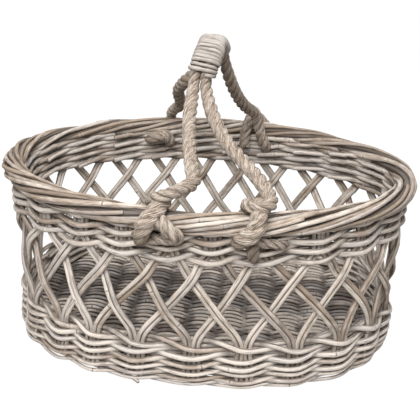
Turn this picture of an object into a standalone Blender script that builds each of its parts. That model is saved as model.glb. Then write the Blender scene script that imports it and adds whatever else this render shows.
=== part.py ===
"""Open oval rattan basket with a rope handle.

The base is a woven mat. Stakes rise from the lower woven band in pairs of canes, cross
each other in an open lattice and run into the upper woven band under a rolled border.
Two ropes are hitched round the border at the front and back and meet in a wound grip.
"""

import math

import bmesh
import bpy
import numpy as np
from mathutils import Matrix, Vector

# Driving dimensions, in metres
LENGTH = 0.500
WIDTH = 0.356
HEIGHT = 0.220
WALL_TAPER_X = 0.006
WALL_TAPER_Y = 0.002
TOP_POWER = 2.0
BASE_POWER = 2.3
FIT_CLEARANCE = 0.0003
CUT_OVERRUN = 0.004
CURVE_STEPS = 12

# Border
BORDER_RADIUS = 0.0130
BORDER_GROOVE = 0.0024
BORDER_FLAT = 0.0024
BORDER_OUTSET = 0.0030
BORDER_CANES = 6
BORDER_TURNS = 4
BORDER_STEPS_PER_GROUP = 2

# Stakes, two canes in each pair
GROUP_COUNT = 23
CANE_RADIUS = 0.0025
PAIR_WAIST = 0.0009
STAKE_FLOOR = 0.0070
STAKE_BEND_RISE = 0.0025
LEAN_GROUPS = 1.5
CROSSING_GROUPS = (0.5, 1.0)
CROSSING_LIFT = 0.0034
CROSSING_HEIGHT_SHARES = (0.37, 0.77)
ENTRY_SPREAD = 0.0143
ENTRY_DROP = 0.0030
ENTRY_DEPTH = 0.0120
LOWER_SHIFTS = {-4: 0, -3: 0.09, -2: -0.05, -1: -0.05, 0: 0.04, 1: 0.04, 2: 0.12, 3: 0.16,
                4: 0.10, 5: 0}
UPPER_SHIFTS = {-4.5: 0, -3.5: 0.13, -2.5: 0.08, -1.5: 0.01, -0.5: -0.04, 0.5: -0.09,
                1.5: -0.11, 2.5: 0.03, 3.5: 0}
POCKET_FLARE = 0.0098
POCKET_THROAT = 0.0150

# Woven bands
WEAVER_DIAMETER = 0.0060
LOWER_BAND_HEIGHT = 0.0580
LOWER_ROW_COUNT = 6
UPPER_BAND_HEIGHT = 0.0370
UPPER_ROW_COUNT = 4
ROW_GROOVE = 0.0022
BAND_WAIST = 0.0028

# Base mat
BASE_ROW = 1
BASE_THICKNESS = 0.0124
BASE_ROW_PITCH = 0.0086
BASE_ROW_GROOVE = 0.0036
BASE_EDGE_POINTS = 64

# Rope
ROPE_RADIUS = 0.0072
LEG_STEP = 0.0140
KNOT_STEP = 0.0105
RELAX_STEP = 0.0010
RELAX_REACH = 6
FRONT_LEFT_GROUP = -0.5
FRONT_RIGHT_GROUP = 1.5
BACK_GROUP = 1.0
HITCH_GRASP = 0.0010
HITCH_TOP_SHARE = 1.80
ROPE_END = 0.0030
HOLE_CLEARANCE = 0.0008

# Grip
GRIP_LENGTH = 0.088
GRIP_BEND_RADIUS = 0.0355
GRIP_TOP = 0.367
GRIP_SIDE = -0.006
GRIP_SETBACK = 0.015
GRIP_TILT = math.radians(11.6)
GRIP_YAW = math.radians(12.0)
GRIP_ROPE_RADIUS = 0.0068
GRIP_NECK = 0.012
GRIP_STEP = 0.0070
GRIP_POINTS = 9
WINDING_TURNS = 16
WINDING_RADIUS = 0.0017
WINDING_CLEARANCE = 0.0008
WINDING_POINTS_PER_TURN = 14

# Worked out from the sizes above
BORDER_CENTRE_Z = HEIGHT - BORDER_RADIUS
BORDER_FLOOR_Z = BORDER_CENTRE_Z - BORDER_RADIUS + BORDER_FLAT
UPPER_BAND_TOP = BORDER_FLOOR_Z - FIT_CLEARANCE
UPPER_BAND_FLOOR = UPPER_BAND_TOP - UPPER_BAND_HEIGHT
LATTICE_HEIGHT = UPPER_BAND_FLOOR - LOWER_BAND_HEIGHT
POCKET_HALF_DEPTH = CANE_RADIUS + FIT_CLEARANCE
BAND_HALF_DEPTH = POCKET_HALF_DEPTH + WEAVER_DIAMETER
PAIR_OFFSET = 2 * CANE_RADIUS + FIT_CLEARANCE / 2
POCKET_HALF_WIDTH = PAIR_OFFSET + 2 * CANE_RADIUS + FIT_CLEARANCE
HITCH_RADIUS = BORDER_RADIUS + ROPE_RADIUS + HITCH_GRASP
HANDLE_PIVOT_Z = BORDER_CENTRE_Z + HITCH_TOP_SHARE * HITCH_RADIUS
GRIP_ROPE_OFFSET = GRIP_ROPE_RADIUS + FIT_CLEARANCE / 2
GRIP_SWEEP = GRIP_LENGTH / GRIP_BEND_RADIUS

# Colours, linear
CANE_LIGHT = (0.42, 0.36, 0.29, 1.0)
CANE_MID = (0.30, 0.25, 0.20, 1.0)
CANE_DARK = (0.19, 0.155, 0.12, 1.0)
ROPE_COLOUR = (0.50, 0.40, 0.28, 1.0)
WINDING_COLOUR = (0.40, 0.36, 0.31, 1.0)


def clear_scene():
    for old in list(bpy.data.objects):
        bpy.data.objects.remove(old, do_unlink=True)


def new_collection(name):
    collection = bpy.data.collections.new(name)
    bpy.context.scene.collection.children.link(collection)
    return collection


def make_material(name, colour, roughness):
    material = bpy.data.materials.new(name)
    material.use_nodes = True
    shader = material.node_tree.nodes["Principled BSDF"]
    shader.inputs["Base Color"].default_value = colour
    shader.inputs["Roughness"].default_value = roughness
    shader.inputs["Metallic"].default_value = 0.0
    return material


def add_object(name, mesh, collection, material=None):
    obj = bpy.data.objects.new(name, mesh)
    collection.objects.link(obj)
    if material:
        mesh.materials.clear()
        mesh.materials.append(material)
    return obj


def loft_mesh(name, sections, closed):
    """Faces between rings of points, closed into a loop or capped at both ends."""
    bm = bmesh.new()
    rings = [[bm.verts.new(point) for point in section] for section in sections]
    count = len(rings[0])
    pairs = list(zip(rings, rings[1:]))
    if closed:
        pairs.append((rings[-1], rings[0]))
    else:
        bm.faces.new(rings[0])
        bm.faces.new(rings[-1])
    for first, second in pairs:
        for i in range(count):
            j = (i + 1) % count
            bm.faces.new((first[i], first[j], second[j], second[i]))
    bmesh.ops.recalc_face_normals(bm, faces=bm.faces)
    bmesh.ops.triangulate(bm, faces=bm.faces)
    mesh = bpy.data.meshes.new(name)
    bm.to_mesh(mesh)
    bm.free()
    mesh.shade_smooth()
    mesh.set_sharp_from_angle(angle=math.radians(50))
    return mesh


def join_meshes(name, meshes):
    bm = bmesh.new()
    for mesh in meshes:
        bm.from_mesh(mesh)
    joined = bpy.data.meshes.new(name)
    bm.to_mesh(joined)
    bm.free()
    return joined


def cut(obj, cutter, operation="DIFFERENCE"):
    cutter.hide_render = True
    cutter.display_type = "WIRE"
    modifier = obj.modifiers.new("cut_" + cutter.name, "BOOLEAN")
    modifier.operation = operation
    modifier.object = cutter


def add_pivot(name, height, objects, collection):
    """An empty that carries the objects where they are."""
    pivot = bpy.data.objects.new(name, None)
    pivot.location.z = height
    for obj in objects:
        obj.parent = pivot
        obj.matrix_parent_inverse = Matrix.Translation((0, 0, -height))
    collection.objects.link(pivot)
    return pivot


def middle_y(objects):
    reach = [vertex.co.y for obj in objects for vertex in obj.data.vertices]
    return (min(reach) + max(reach)) / 2


def wall_halves(z):
    """Half length, half width and roundness of the wall's middle surface at a height."""
    share = min(max(z / HEIGHT, 0.0), 1.0)
    top_x = LENGTH / 2 - BORDER_RADIUS - BORDER_OUTSET
    top_y = WIDTH / 2 - BORDER_RADIUS - BORDER_OUTSET
    half_x = top_x - WALL_TAPER_X * (1 - share)
    half_y = top_y - WALL_TAPER_Y * (1 - share)
    power = BASE_POWER + (TOP_POWER - BASE_POWER) * share
    return half_x, half_y, power


def oval_point(half_x, half_y, power, angle):
    """A point of the oval and the outward direction there."""
    c, s = math.cos(angle), math.sin(angle)
    x = half_x * math.copysign(abs(c) ** (2 / power), c)
    y = half_y * math.copysign(abs(s) ** (2 / power), s)
    slope_x = math.copysign(abs(c) ** (2 - 2 / power), c) / half_x
    slope_y = math.copysign(abs(s) ** (2 - 2 / power), s) / half_y
    return Vector((x, y, 0)), Vector((slope_x, slope_y, 0)).normalized()


def perimeter_table(z, samples=1440):
    """Angles and the share of the way round at each, from +X through +Y."""
    angles = np.linspace(0, 2 * math.pi, samples + 1)
    halves = wall_halves(z)
    points = np.array([oval_point(*halves, angle)[0][:2] for angle in angles])
    steps = np.hypot(*np.diff(points, axis=0).T)
    length = steps.sum()
    return angles, np.concatenate(([0.0], np.cumsum(steps))) / length, length


LATTICE_TABLE = perimeter_table(LOWER_BAND_HEIGHT + LATTICE_HEIGHT / 2)
PERIMETER = LATTICE_TABLE[2]
SPACING = PERIMETER / GROUP_COUNT


def wall_frame(group, z, outset=0.0):
    """Origin, rightward direction (seen from outside) and outward direction on the wall.

    Groups are counted to the right from the middle of the front.
    """
    share = (0.75 + group / GROUP_COUNT) % 1.0
    angle = float(np.interp(share, LATTICE_TABLE[1], LATTICE_TABLE[0]))
    origin, outward = oval_point(*wall_halves(z), angle)
    origin = origin + outward * outset
    origin.z = z
    rightward = Vector((0, 0, 1)).cross(outward)
    return origin, rightward, outward


def group_point(group, along, z):
    """A place on the flat plane of a group, where its pocket lies."""
    origin, rightward, _ = wall_frame(group, z)
    return origin + rightward * along


def settled(group, shifts):
    """A group's place with the small shift that hand work gave it."""
    wrapped = (group + GROUP_COUNT / 2) % GROUP_COUNT - GROUP_COUNT / 2
    return group + float(np.interp(wrapped, list(shifts), list(shifts.values())))


def smooth_curve(points):
    """Closely spaced points on a smooth curve through the given ones, and their runs."""
    controls = [Vector(point) for point in points]
    controls = [2 * controls[0] - controls[1], *controls, 2 * controls[-1] - controls[-2]]
    dense = []
    for a, b, c, d in zip(controls, controls[1:], controls[2:], controls[3:]):
        for k in range(CURVE_STEPS):
            t = k / CURVE_STEPS
            dense.append(0.5 * (2 * b + (c - a) * t + (2 * a - 5 * b + 4 * c - d) * t**2
                                + (3 * b - a - 3 * c + d) * t**3))
    dense.append(controls[-2])
    table = np.array(dense)
    run = np.concatenate(([0.0], np.cumsum(np.linalg.norm(np.diff(table, axis=0), axis=1))))
    return table, run


def relaxed_curve(curve):
    """The curve with its sharp turns eased, as stiff rope lies."""
    table, run = curve
    places = np.linspace(0, run[-1], round(run[-1] / RELAX_STEP) + 1)
    even = np.stack([np.interp(places, run, table[:, i]) for i in range(3)], axis=1)
    ahead = 2 * even[0] - even[1:RELAX_REACH + 1][::-1]
    behind = 2 * even[-1] - even[-RELAX_REACH - 1:-1][::-1]
    padded = np.concatenate((ahead, even, behind))
    window = np.ones(2 * RELAX_REACH + 1) / (2 * RELAX_REACH + 1)
    eased = np.stack([np.convolve(padded[:, i], window, "valid") for i in range(3)], axis=1)
    steps = np.linalg.norm(np.diff(eased, axis=0), axis=1)
    return eased, np.concatenate(([0.0], np.cumsum(steps)))


def at_run(curve, place):
    table, run = curve
    return Vector([float(np.interp(place, run, table[:, i])) for i in range(3)])


def nearest_run(curve, point):
    table, run = curve
    return float(run[np.linalg.norm(table - np.array(point), axis=1).argmin()])


def stretch(curve, start, end, step):
    """Evenly spaced points of a curve between two runs."""
    count = max(2, round((end - start) / step) + 1)
    return [at_run(curve, place) for place in np.linspace(start, end, count)]


def square_end(curve, place, points, last):
    """Gives a tube a short straight end, square to the curve, half a clearance back."""
    heading = (at_run(curve, place + ROPE_END) - at_run(curve, place - ROPE_END)).normalized()
    meet = at_run(curve, place)
    back = -1 if last else 1
    face = meet + heading * back * FIT_CLEARANCE / 2
    neck = meet + heading * back * ROPE_END
    return [*points[:-1], neck, face] if last else [face, neck, *points[1:]]


def tube_mesh(name, points, radius, resolution, radii=None):
    """A round tube along the points, as a closed mesh."""
    curve = bpy.data.curves.new(name, "CURVE")
    curve.dimensions = "3D"
    curve.bevel_depth = radius
    curve.bevel_resolution = resolution
    curve.use_fill_caps = True
    spline = curve.splines.new("POLY")
    spline.points.add(len(points) - 1)
    for i, point in enumerate(points):
        spline.points[i].co = (*point, 1.0)
        if radii:
            spline.points[i].radius = radii[i] / radius
    carrier = bpy.data.objects.new(name + "_curve", curve)
    bpy.context.scene.collection.objects.link(carrier)
    graph = bpy.context.evaluated_depsgraph_get()
    mesh = bpy.data.meshes.new_from_object(carrier.evaluated_get(graph))
    bpy.data.objects.remove(carrier, do_unlink=True)
    bm = bmesh.new()
    bm.from_mesh(mesh)
    bmesh.ops.remove_doubles(bm, verts=bm.verts, dist=radius / 100)
    bmesh.ops.recalc_face_normals(bm, faces=bm.faces)
    bm.to_mesh(mesh)
    bm.free()
    mesh.name = name
    mesh.shade_smooth()
    mesh.set_sharp_from_angle(angle=math.radians(60))
    return mesh


def woven_band(name, floor, top, rows, first_group, shifts):
    """A ring that bulges over each group of stakes and draws in between the groups."""
    pitch = (top - floor) / rows
    sections = []
    for step in range(2 * GROUP_COUNT):
        half = BAND_HALF_DEPTH - (BAND_WAIST if step % 2 else 0)
        side = [(half - ROW_GROOVE, floor)]
        for row in range(rows):
            side.append((half, floor + pitch * (row + 0.5)))
            side.append((half - ROW_GROOVE, floor + pitch * (row + 1)))
        outline = side + [(-depth, z) for depth, z in reversed(side)]
        group = settled(first_group + step / 2, shifts)
        sections.append([wall_frame(group, z, depth)[0] for depth, z in outline])
    return loft_mesh(name, sections, closed=True)


def pocket_mesh(name, group, outline):
    """A prism through the wall's thickness; its outline is (along, height) points."""
    sections = []
    for depth in (-POCKET_HALF_DEPTH, POCKET_HALF_DEPTH):
        outward = wall_frame(group, outline[0][1])[2]
        sections.append([group_point(group, along, z) + outward * depth for along, z in outline])
    return loft_mesh(name, sections, closed=False)


def lower_pocket(group):
    width = POCKET_HALF_WIDTH
    floor = STAKE_FLOOR - FIT_CLEARANCE
    top = LOWER_BAND_HEIGHT + CUT_OVERRUN
    outline = [(-width, floor), (width, floor), (width, top), (-width, top)]
    return pocket_mesh("lower_pocket", group, outline)


def upper_pocket(group):
    """A blind pocket that flares downward, where the pairs still lean."""
    flare = POCKET_FLARE / POCKET_THROAT
    throat = UPPER_BAND_FLOOR + POCKET_THROAT
    floor = UPPER_BAND_FLOOR - CUT_OVERRUN
    half = POCKET_HALF_WIDTH
    mouth = half + flare * (throat - floor)
    top = UPPER_BAND_TOP - WEAVER_DIAMETER / 2 + FIT_CLEARANCE
    outline = [(-mouth, floor), (mouth, floor), (half, throat), (half, top),
               (-half, top), (-half, throat)]
    return pocket_mesh("upper_pocket", group, outline)


def stake_path(group, lean):
    """Places of one leaning pair, bottom to top, and the direction out of the wall at each.

    In its pockets the pair lies on the flat plane of its group.
    """
    low, high = CROSSING_HEIGHT_SHARES
    lower_group = settled(group, LOWER_SHIFTS)
    upper_group = settled(group + LEAN_GROUPS * lean, UPPER_SHIFTS)
    inside_z = UPPER_BAND_FLOOR + ENTRY_DEPTH
    top_z = UPPER_BAND_TOP - WEAVER_DIAMETER / 2
    lower_out = wall_frame(lower_group, 0)[2]
    upper_out = wall_frame(upper_group, 0)[2]
    path = [
        (group_point(lower_group, lean * PAIR_OFFSET, z), lower_out)
        for z in (STAKE_FLOOR, LOWER_BAND_HEIGHT + STAKE_BEND_RISE)
    ]
    near, far = CROSSING_GROUPS
    for share, groups, lift, shifts in ((low, near, -lean, LOWER_SHIFTS),
                                        (high, far, lean, UPPER_SHIFTS)):
        z = LOWER_BAND_HEIGHT + LATTICE_HEIGHT * share
        before, after = (settled(group + groups * lean + half, shifts) for half in (-0.5, 0.5))
        origin, _, out = wall_frame((before + after) / 2, z)
        path.append((origin + out * lift * CROSSING_LIFT, out))
    path += [
        (group_point(upper_group, -lean * along, z), upper_out)
        for along, z in ((ENTRY_SPREAD, UPPER_BAND_FLOOR - ENTRY_DROP),
                         (PAIR_OFFSET, inside_z), (PAIR_OFFSET, top_z))
    ]
    return path


def stake_pair(name, group, lean):
    """Two canes side by side, swept along their shared path."""
    r = CANE_RADIUS
    outline = [(-2 * r, 0), (-r, -r), (0, -PAIR_WAIST), (r, -r),
               (2 * r, 0), (r, r), (0, PAIR_WAIST), (-r, r)]
    path = stake_path(group, lean)
    places = [place for place, _ in path]
    steps = [(b - a).normalized() for a, b in zip(places, places[1:])]
    sections = []
    for i, (place, outward) in enumerate(path):
        along = steps[max(i - 1, 0)] + steps[min(i, len(steps) - 1)]
        across = along.cross(outward).normalized()
        sections.append([place + across * u + outward * v for u, v in outline])
    return loft_mesh(name, sections, closed=False)


def rolled_border(name):
    """A roll of canes that winds slowly along the rim; flat where it sits on the band."""
    steps = BORDER_STEPS_PER_GROUP * GROUP_COUNT
    sections = []
    for step in range(steps):
        group = step / BORDER_STEPS_PER_GROUP
        turn = 2 * math.pi * BORDER_TURNS * step / steps
        section = []
        for k in range(2 * BORDER_CANES):
            radius = BORDER_RADIUS - (BORDER_GROOVE if k % 2 else 0)
            angle = turn + math.pi * k / BORDER_CANES
            z = max(BORDER_CENTRE_Z + radius * math.sin(angle), BORDER_FLOOR_Z)
            out = BORDER_OUTSET + radius * math.cos(angle)
            section.append(wall_frame(group, HEIGHT, out)[0] + Vector((0, 0, z - HEIGHT)))
        sections.append(section)
    return loft_mesh(name, sections, closed=True)


def base_outline(name):
    """An oval block whose edge meets the crest of one row of the lower band."""
    middle = LOWER_BAND_HEIGHT / LOWER_ROW_COUNT * (BASE_ROW + 0.5)
    half_x, half_y, power = wall_halves(middle)
    reach = BAND_HALF_DEPTH + FIT_CLEARANCE
    edge = [oval_point(half_x - reach, half_y - reach, power, angle)[0]
            for angle in np.linspace(0, 2 * math.pi, BASE_EDGE_POINTS, endpoint=False)]
    sections = []
    for half in (-BASE_THICKNESS, BASE_THICKNESS):
        sections.append([point + Vector((0, 0, middle + half)) for point in edge])
    return loft_mesh(name, sections, closed=False)


def base_mat(name):
    """Close rows that run along the length, with a groove between each two."""
    middle = LOWER_BAND_HEIGHT / LOWER_ROW_COUNT * (BASE_ROW + 0.5)
    rows = math.ceil(WIDTH / 2 / BASE_ROW_PITCH)
    crest, groove = BASE_THICKNESS / 2, BASE_THICKNESS / 2 - BASE_ROW_GROOVE
    top = []
    for row in range(-rows, rows):
        top.append((BASE_ROW_PITCH * row, crest))
        top.append((BASE_ROW_PITCH * (row + 0.5), groove))
    top.append((BASE_ROW_PITCH * rows, crest))
    outline = top + [(y, -z) for y, z in reversed(top)]
    sections = [[Vector((x, y, middle + z)) for y, z in outline]
                for x in (-LENGTH / 2, LENGTH / 2)]
    return loft_mesh(name, sections, closed=False)


def hitch_point(group, side, across, out, up):
    """A place by a knot: distances along the rim, out from the border's middle, and up."""
    origin, _, outward = wall_frame(group + side * across / SPACING, HEIGHT)
    point = origin + outward * (BORDER_OUTSET + out)
    point.z = BORDER_CENTRE_Z + up
    return point


# Each knot from the leg to its tail: places along the rim in rope radii, then outward and
# upward in hitch radii, with the border's middle at zero. The rope goes round the border
# and through the band below it.
KNOTS = {
    "front_left": (FRONT_LEFT_GROUP, 1),
    "front_right": (FRONT_RIGHT_GROUP, 1),
    "back_left": (GROUP_COUNT / 2 + BACK_GROUP, -1),
    "back_right": (GROUP_COUNT / 2 - BACK_GROUP, 1),
}
KNOT_ROUTES = {
    "front_left": (
        (2.43, -1.18, 1.80), (1.25, -0.38, 1.82), (-0.14, 0.28, 1.81), (-1.67, 0.42, 1.58),
        (-2.92, 0.14, 1.25), (-3.61, -0.42, 0.94), (-3.89, -0.94, 0.38), (-4.10, -1.03, -0.14),
        (-4.31, -0.87, -0.59), (-4.38, -0.47, -0.94), (-4.38, 0.00, -1.06), (-4.38, 0.47, -0.94),
        (-4.38, 0.87, -0.59), (-3.96, 1.03, -0.14), (-3.06, 0.98, 0.28), (-1.74, 0.75, 0.69),
        (-0.56, 0.31, 0.98), (-0.14, -0.28, 0.99), (0.00, -0.80, 0.66), (0.35, -1.03, 0.14),
        (1.11, -0.97, -0.38), (1.94, -0.71, -0.83), (2.43, -0.24, -1.05), (2.43, 0.28, -1.04),
        (2.29, 0.68, -0.83), (1.60, 0.94, -0.54), (0.62, 1.00, -0.28), (-0.56, 1.00, 0.02),
    ),
    "front_right": (
        (-1.25, -0.57, 1.80), (-0.49, 0.09, 1.79), (-0.21, 0.61, 1.67), (-0.69, 1.01, 1.49),
        (-1.74, 1.16, 1.40), (-2.85, 0.80, 1.38), (-3.54, 0.19, 1.20), (-3.89, -0.42, 0.97),
        (-4.17, -0.93, 0.42), (-4.38, -1.03, -0.12), (-4.44, -0.87, -0.59), (-4.44, -0.47, -0.94),
        (-4.44, 0.00, -1.06), (-4.44, 0.47, -0.94), (-4.44, 0.85, -0.61), (-4.17, 1.01, -0.21),
        (-3.47, 0.99, 0.19), (-2.50, 0.85, 0.53), (-1.67, 0.54, 0.85), (-1.04, 0.00, 1.01),
        (-0.83, -0.54, 0.86), (-0.56, -0.94, 0.44), (0.14, -1.04, -0.09), (1.25, -0.92, -0.50),
        (2.36, -0.61, -0.87), (2.99, -0.19, -1.06), (2.99, 0.28, -1.04), (2.71, 0.68, -0.87),
        (1.81, 0.90, -0.75), (0.69, 0.92, -0.75), (-0.56, 0.89, -0.83), (-1.46, 0.81, -1.13),
        (-1.88, 0.75, -1.51), (-2.01, 0.73, -1.75),
    ),
    "back_left": (
        (-2.78, -1.98, 1.80), (-3.75, -1.91, 1.13), (-4.44, -1.88, 0.38), (-4.86, -1.67, -0.38),
        (-4.94, -1.18, -0.90), (-4.94, -0.57, -1.06), (-4.92, 0.00, -1.08), (-4.89, 0.47, -0.94),
        (-4.79, 0.87, -0.57), (-4.17, 1.03, -0.09), (-2.78, 0.92, 0.45), (-1.11, 0.59, 0.86),
        (0.00, 0.00, 1.04), (-0.28, -0.61, 0.85), (-1.67, -0.99, 0.33), (-3.47, -1.03, 0.05),
        (-5.42, -1.02, -0.09), (-6.81, -0.99, -0.42), (-7.36, -0.98, -0.85),
    ),
    "back_right": (
        (-0.83, -1.89, 1.80), (-1.18, -1.46, 1.13), (-1.53, -1.18, 0.52), (-2.08, -1.06, -0.05),
        (-2.64, -0.88, -0.57), (-2.85, -0.47, -0.94), (-2.85, 0.00, -1.06), (-2.85, 0.47, -0.94),
        (-2.57, 0.87, -0.57), (-1.88, 1.03, -0.09), (-0.83, 0.92, 0.46), (0.14, 0.50, 0.90),
        (0.69, -0.09, 1.03), (1.11, -0.66, 0.81), (1.46, -1.01, 0.26), (1.67, -1.02, -0.33),
        (1.53, -1.00, -0.90),
    ),
}

# Each leg between the grip and its knot: shares of the way in length, width and height.
LEG_ROUTES = {
    "front_left": (
        (0.00, 0.17, 0.20), (0.04, 0.34, 0.40), (0.22, 0.52, 0.58), (0.46, 0.70, 0.75),
        (0.76, 0.87, 0.90),
    ),
    "front_right": (
        (0.10, 0.17, 0.24), (0.24, 0.33, 0.45), (0.43, 0.51, 0.63), (0.68, 0.70, 0.79),
        (0.88, 0.87, 0.91),
    ),
    "back_left": (
        (0.28, 0.06, 0.14), (0.60, 0.09, 0.31), (0.77, 0.20, 0.46), (0.81, 0.38, 0.63),
        (0.79, 0.58, 0.78), (0.87, 0.79, 0.91),
    ),
    "back_right": (
        (0.13, 0.10, 0.22), (0.28, 0.26, 0.44), (0.48, 0.49, 0.67), (0.72, 0.74, 0.86),
    ),
}


def knot_route(name):
    """Points of one knot, from where the leg reaches it to its tail."""
    group, side = KNOTS[name]
    return [
        hitch_point(group, side, across * ROPE_RADIUS, out * HITCH_RADIUS, up * HITCH_RADIUS)
        for across, out, up in KNOT_ROUTES[name]
    ]


def grip_frame(share):
    """Place on the grip's arc, the direction along it and the horizontal one across it."""
    angle = (share - 0.5) * GRIP_SWEEP
    forward = Vector((-math.sin(GRIP_YAW), -math.cos(GRIP_YAW), 0))
    across = Vector((math.cos(GRIP_YAW), -math.sin(GRIP_YAW), 0))
    tilt = angle + GRIP_TILT
    centre_z = GRIP_TOP - WINDING_CLEARANCE - 2 * WINDING_RADIUS - GRIP_ROPE_RADIUS
    centre = Vector((GRIP_SIDE, GRIP_SETBACK, centre_z - GRIP_BEND_RADIUS))
    spoke = forward * math.sin(tilt) + Vector((0, 0, math.cos(tilt)))
    along = forward * math.cos(tilt) - Vector((0, 0, math.sin(tilt)))
    return centre + spoke * GRIP_BEND_RADIUS, along, across, spoke


def leg_points(name, start, end):
    """Places of one leg between the grip and its knot."""
    reach = end - start
    return [start + Vector([share * way for share, way in zip(shares, reach)])
            for shares in LEG_ROUTES[name]]


def rope_curve(side, offset):
    """The whole route of one rope: front knot, leg, grip, leg and back knot."""
    frames = [grip_frame(share) for share in np.linspace(1, 0, GRIP_POINTS)]
    grip = [place + across * offset for place, _, across, _ in frames]
    _, along, across, _ = frames[0]
    parting = across * math.copysign(ROPE_RADIUS - GRIP_ROPE_RADIUS, offset)
    front_exit = grip[0] + along * GRIP_NECK + parting
    back_exit = grip[-1] - frames[-1][1] * GRIP_NECK + parting
    front_knot, back_knot = knot_route("front_" + side), knot_route("back_" + side)
    front = leg_points("front_" + side, front_exit, front_knot[0])
    back = leg_points("back_" + side, back_exit, back_knot[0])
    route = [*reversed(front_knot), *reversed(front), front_exit, *grip,
             back_exit, *back, *back_knot]
    return relaxed_curve(smooth_curve(route)), front_knot[0], back_knot[0], grip


def rope_pieces(side, offset):
    """Points of the front knot, of the rope between the knots, and of the back knot."""
    curve, front_start, back_start, grip = rope_curve(side, offset)
    front, back = nearest_run(curve, front_start), nearest_run(curve, back_start)
    grip_start, grip_end = nearest_run(curve, grip[0]), nearest_run(curve, grip[-1])
    first_knot = stretch(curve, 0.0, front, KNOT_STEP)
    last_knot = stretch(curve, back, curve[1][-1], KNOT_STEP)
    rope = stretch(curve, front, grip_start, LEG_STEP)[:-1]
    rope += stretch(curve, grip_start, grip_end, GRIP_STEP)
    rope += stretch(curve, grip_end, back, LEG_STEP)[1:]
    rope = square_end(curve, front, rope, last=False)
    rope = square_end(curve, back, rope, last=True)
    first_knot = square_end(curve, front, first_knot, last=True)
    last_knot = square_end(curve, back, last_knot, last=False)
    return first_knot, rope, last_knot, grip


def rope_radii(points, grip):
    """Full size on the legs, drawn in under the winding."""
    radii = []
    for point in points:
        away = min((point - place).length for place in grip)
        share = min(max((away - GRIP_STEP) / GRIP_NECK, 0.0), 1.0)
        radii.append(GRIP_ROPE_RADIUS + (ROPE_RADIUS - GRIP_ROPE_RADIUS) * share)
    return radii


def stadium_point(share, half_gap, radius):
    """A place on the outline round two circles: (across, up), by share of its length."""
    straight = 2 * half_gap
    length = 2 * straight + 2 * math.pi * radius
    run = (share % 1.0) * length
    if run < straight:
        return half_gap - run, radius
    run -= straight
    if run < math.pi * radius:
        angle = math.pi / 2 + run / radius
        return -half_gap + radius * math.cos(angle), radius * math.sin(angle)
    run -= math.pi * radius
    if run < straight:
        return -half_gap + run, -radius
    run -= straight
    angle = -math.pi / 2 + run / radius
    return half_gap + radius * math.cos(angle), radius * math.sin(angle)


def winding_points():
    """One unbroken helix round both ropes of the grip."""
    reach = GRIP_ROPE_RADIUS + WINDING_CLEARANCE + WINDING_RADIUS
    count = WINDING_TURNS * WINDING_POINTS_PER_TURN
    margin = 2 * WINDING_RADIUS / GRIP_LENGTH
    points = []
    for k in range(count + 1):
        share = margin + (1 - 2 * margin) * k / count
        place, _, across, spoke = grip_frame(share)
        u, v = stadium_point(k / WINDING_POINTS_PER_TURN, GRIP_ROPE_OFFSET, reach)
        points.append(place + across * u + spoke * v)
    return points


def least_gap_to_itself(points, radius):
    """Least space between the turns of a wound tube, measured between its points."""
    table = np.array([list(point) for point in points])
    half_turn = WINDING_POINTS_PER_TURN // 2
    least = min(
        np.linalg.norm(table[i + half_turn:] - table[i], axis=1).min()
        for i in range(len(table) - half_turn)
    )
    return least - 2 * radius


clear_scene()
parts = new_collection("rattan_picnic_basket")
cutters = new_collection("cutters")

cane_light = make_material("cane_light", CANE_LIGHT, 0.62)
cane_mid = make_material("cane_mid", CANE_MID, 0.66)
cane_dark = make_material("cane_dark", CANE_DARK, 0.70)
rope_fibre = make_material("rope_fibre", ROPE_COLOUR, 0.85)
winding_core = make_material("winding_core", WINDING_COLOUR, 0.60)

# Base and bands
base = add_object("base_mat", base_mat("base_mat"), parts, cane_dark)
cut(base, add_object("base_outline", base_outline("base_outline"), cutters), "INTERSECT")
lower_band = add_object(
    "lower_band", woven_band("lower_band", 0, LOWER_BAND_HEIGHT, LOWER_ROW_COUNT, 0.0,
                             LOWER_SHIFTS),
    parts, cane_mid)
upper_band = add_object(
    "upper_band",
    woven_band("upper_band", UPPER_BAND_FLOOR, UPPER_BAND_TOP, UPPER_ROW_COUNT, 0.5,
               UPPER_SHIFTS),
    parts, cane_mid)
lower_pockets = join_meshes("lower_pockets", [
    lower_pocket(settled(g, LOWER_SHIFTS)) for g in range(GROUP_COUNT)])
upper_pockets = join_meshes("upper_pockets", [
    upper_pocket(settled(g + 0.5, UPPER_SHIFTS)) for g in range(GROUP_COUNT)])
cut(lower_band, add_object("lower_pockets", lower_pockets, cutters))
cut(upper_band, add_object("upper_pockets", upper_pockets, cutters))

# Stakes
for group in range(GROUP_COUNT):
    for lean, side in ((1, "right"), (-1, "left")):
        name = f"stakes_{side}_{group + 1:02d}"
        add_object(name, stake_pair(name, group, lean), parts, cane_light)

# Border
add_object("border", rolled_border("border"), parts, cane_light)

# Ropes, with a knot at each end
handle = []
for side, offset in (("left", -GRIP_ROPE_OFFSET), ("right", GRIP_ROPE_OFFSET)):
    first, middle, last, grip = rope_pieces(side, offset)
    for name, points in ((f"knot_front_{side}", first), (f"knot_back_{side}", last)):
        add_object(name, tube_mesh(name, points, ROPE_RADIUS, 2), parts, rope_fibre)
        bore = tube_mesh(name + "_bore", points, ROPE_RADIUS + HOLE_CLEARANCE, 2)
        cut(upper_band, add_object(name + "_bore", bore, cutters))
    rope = tube_mesh(f"rope_{side}", middle, ROPE_RADIUS, 2, rope_radii(middle, grip))
    handle.append(add_object(f"rope_{side}", rope, parts, rope_fibre))

# Winding round the grip
turns = winding_points()
winding = tube_mesh("grip_winding", turns, WINDING_RADIUS, 1)
handle.append(add_object("grip_winding", winding, parts, winding_core))

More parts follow.
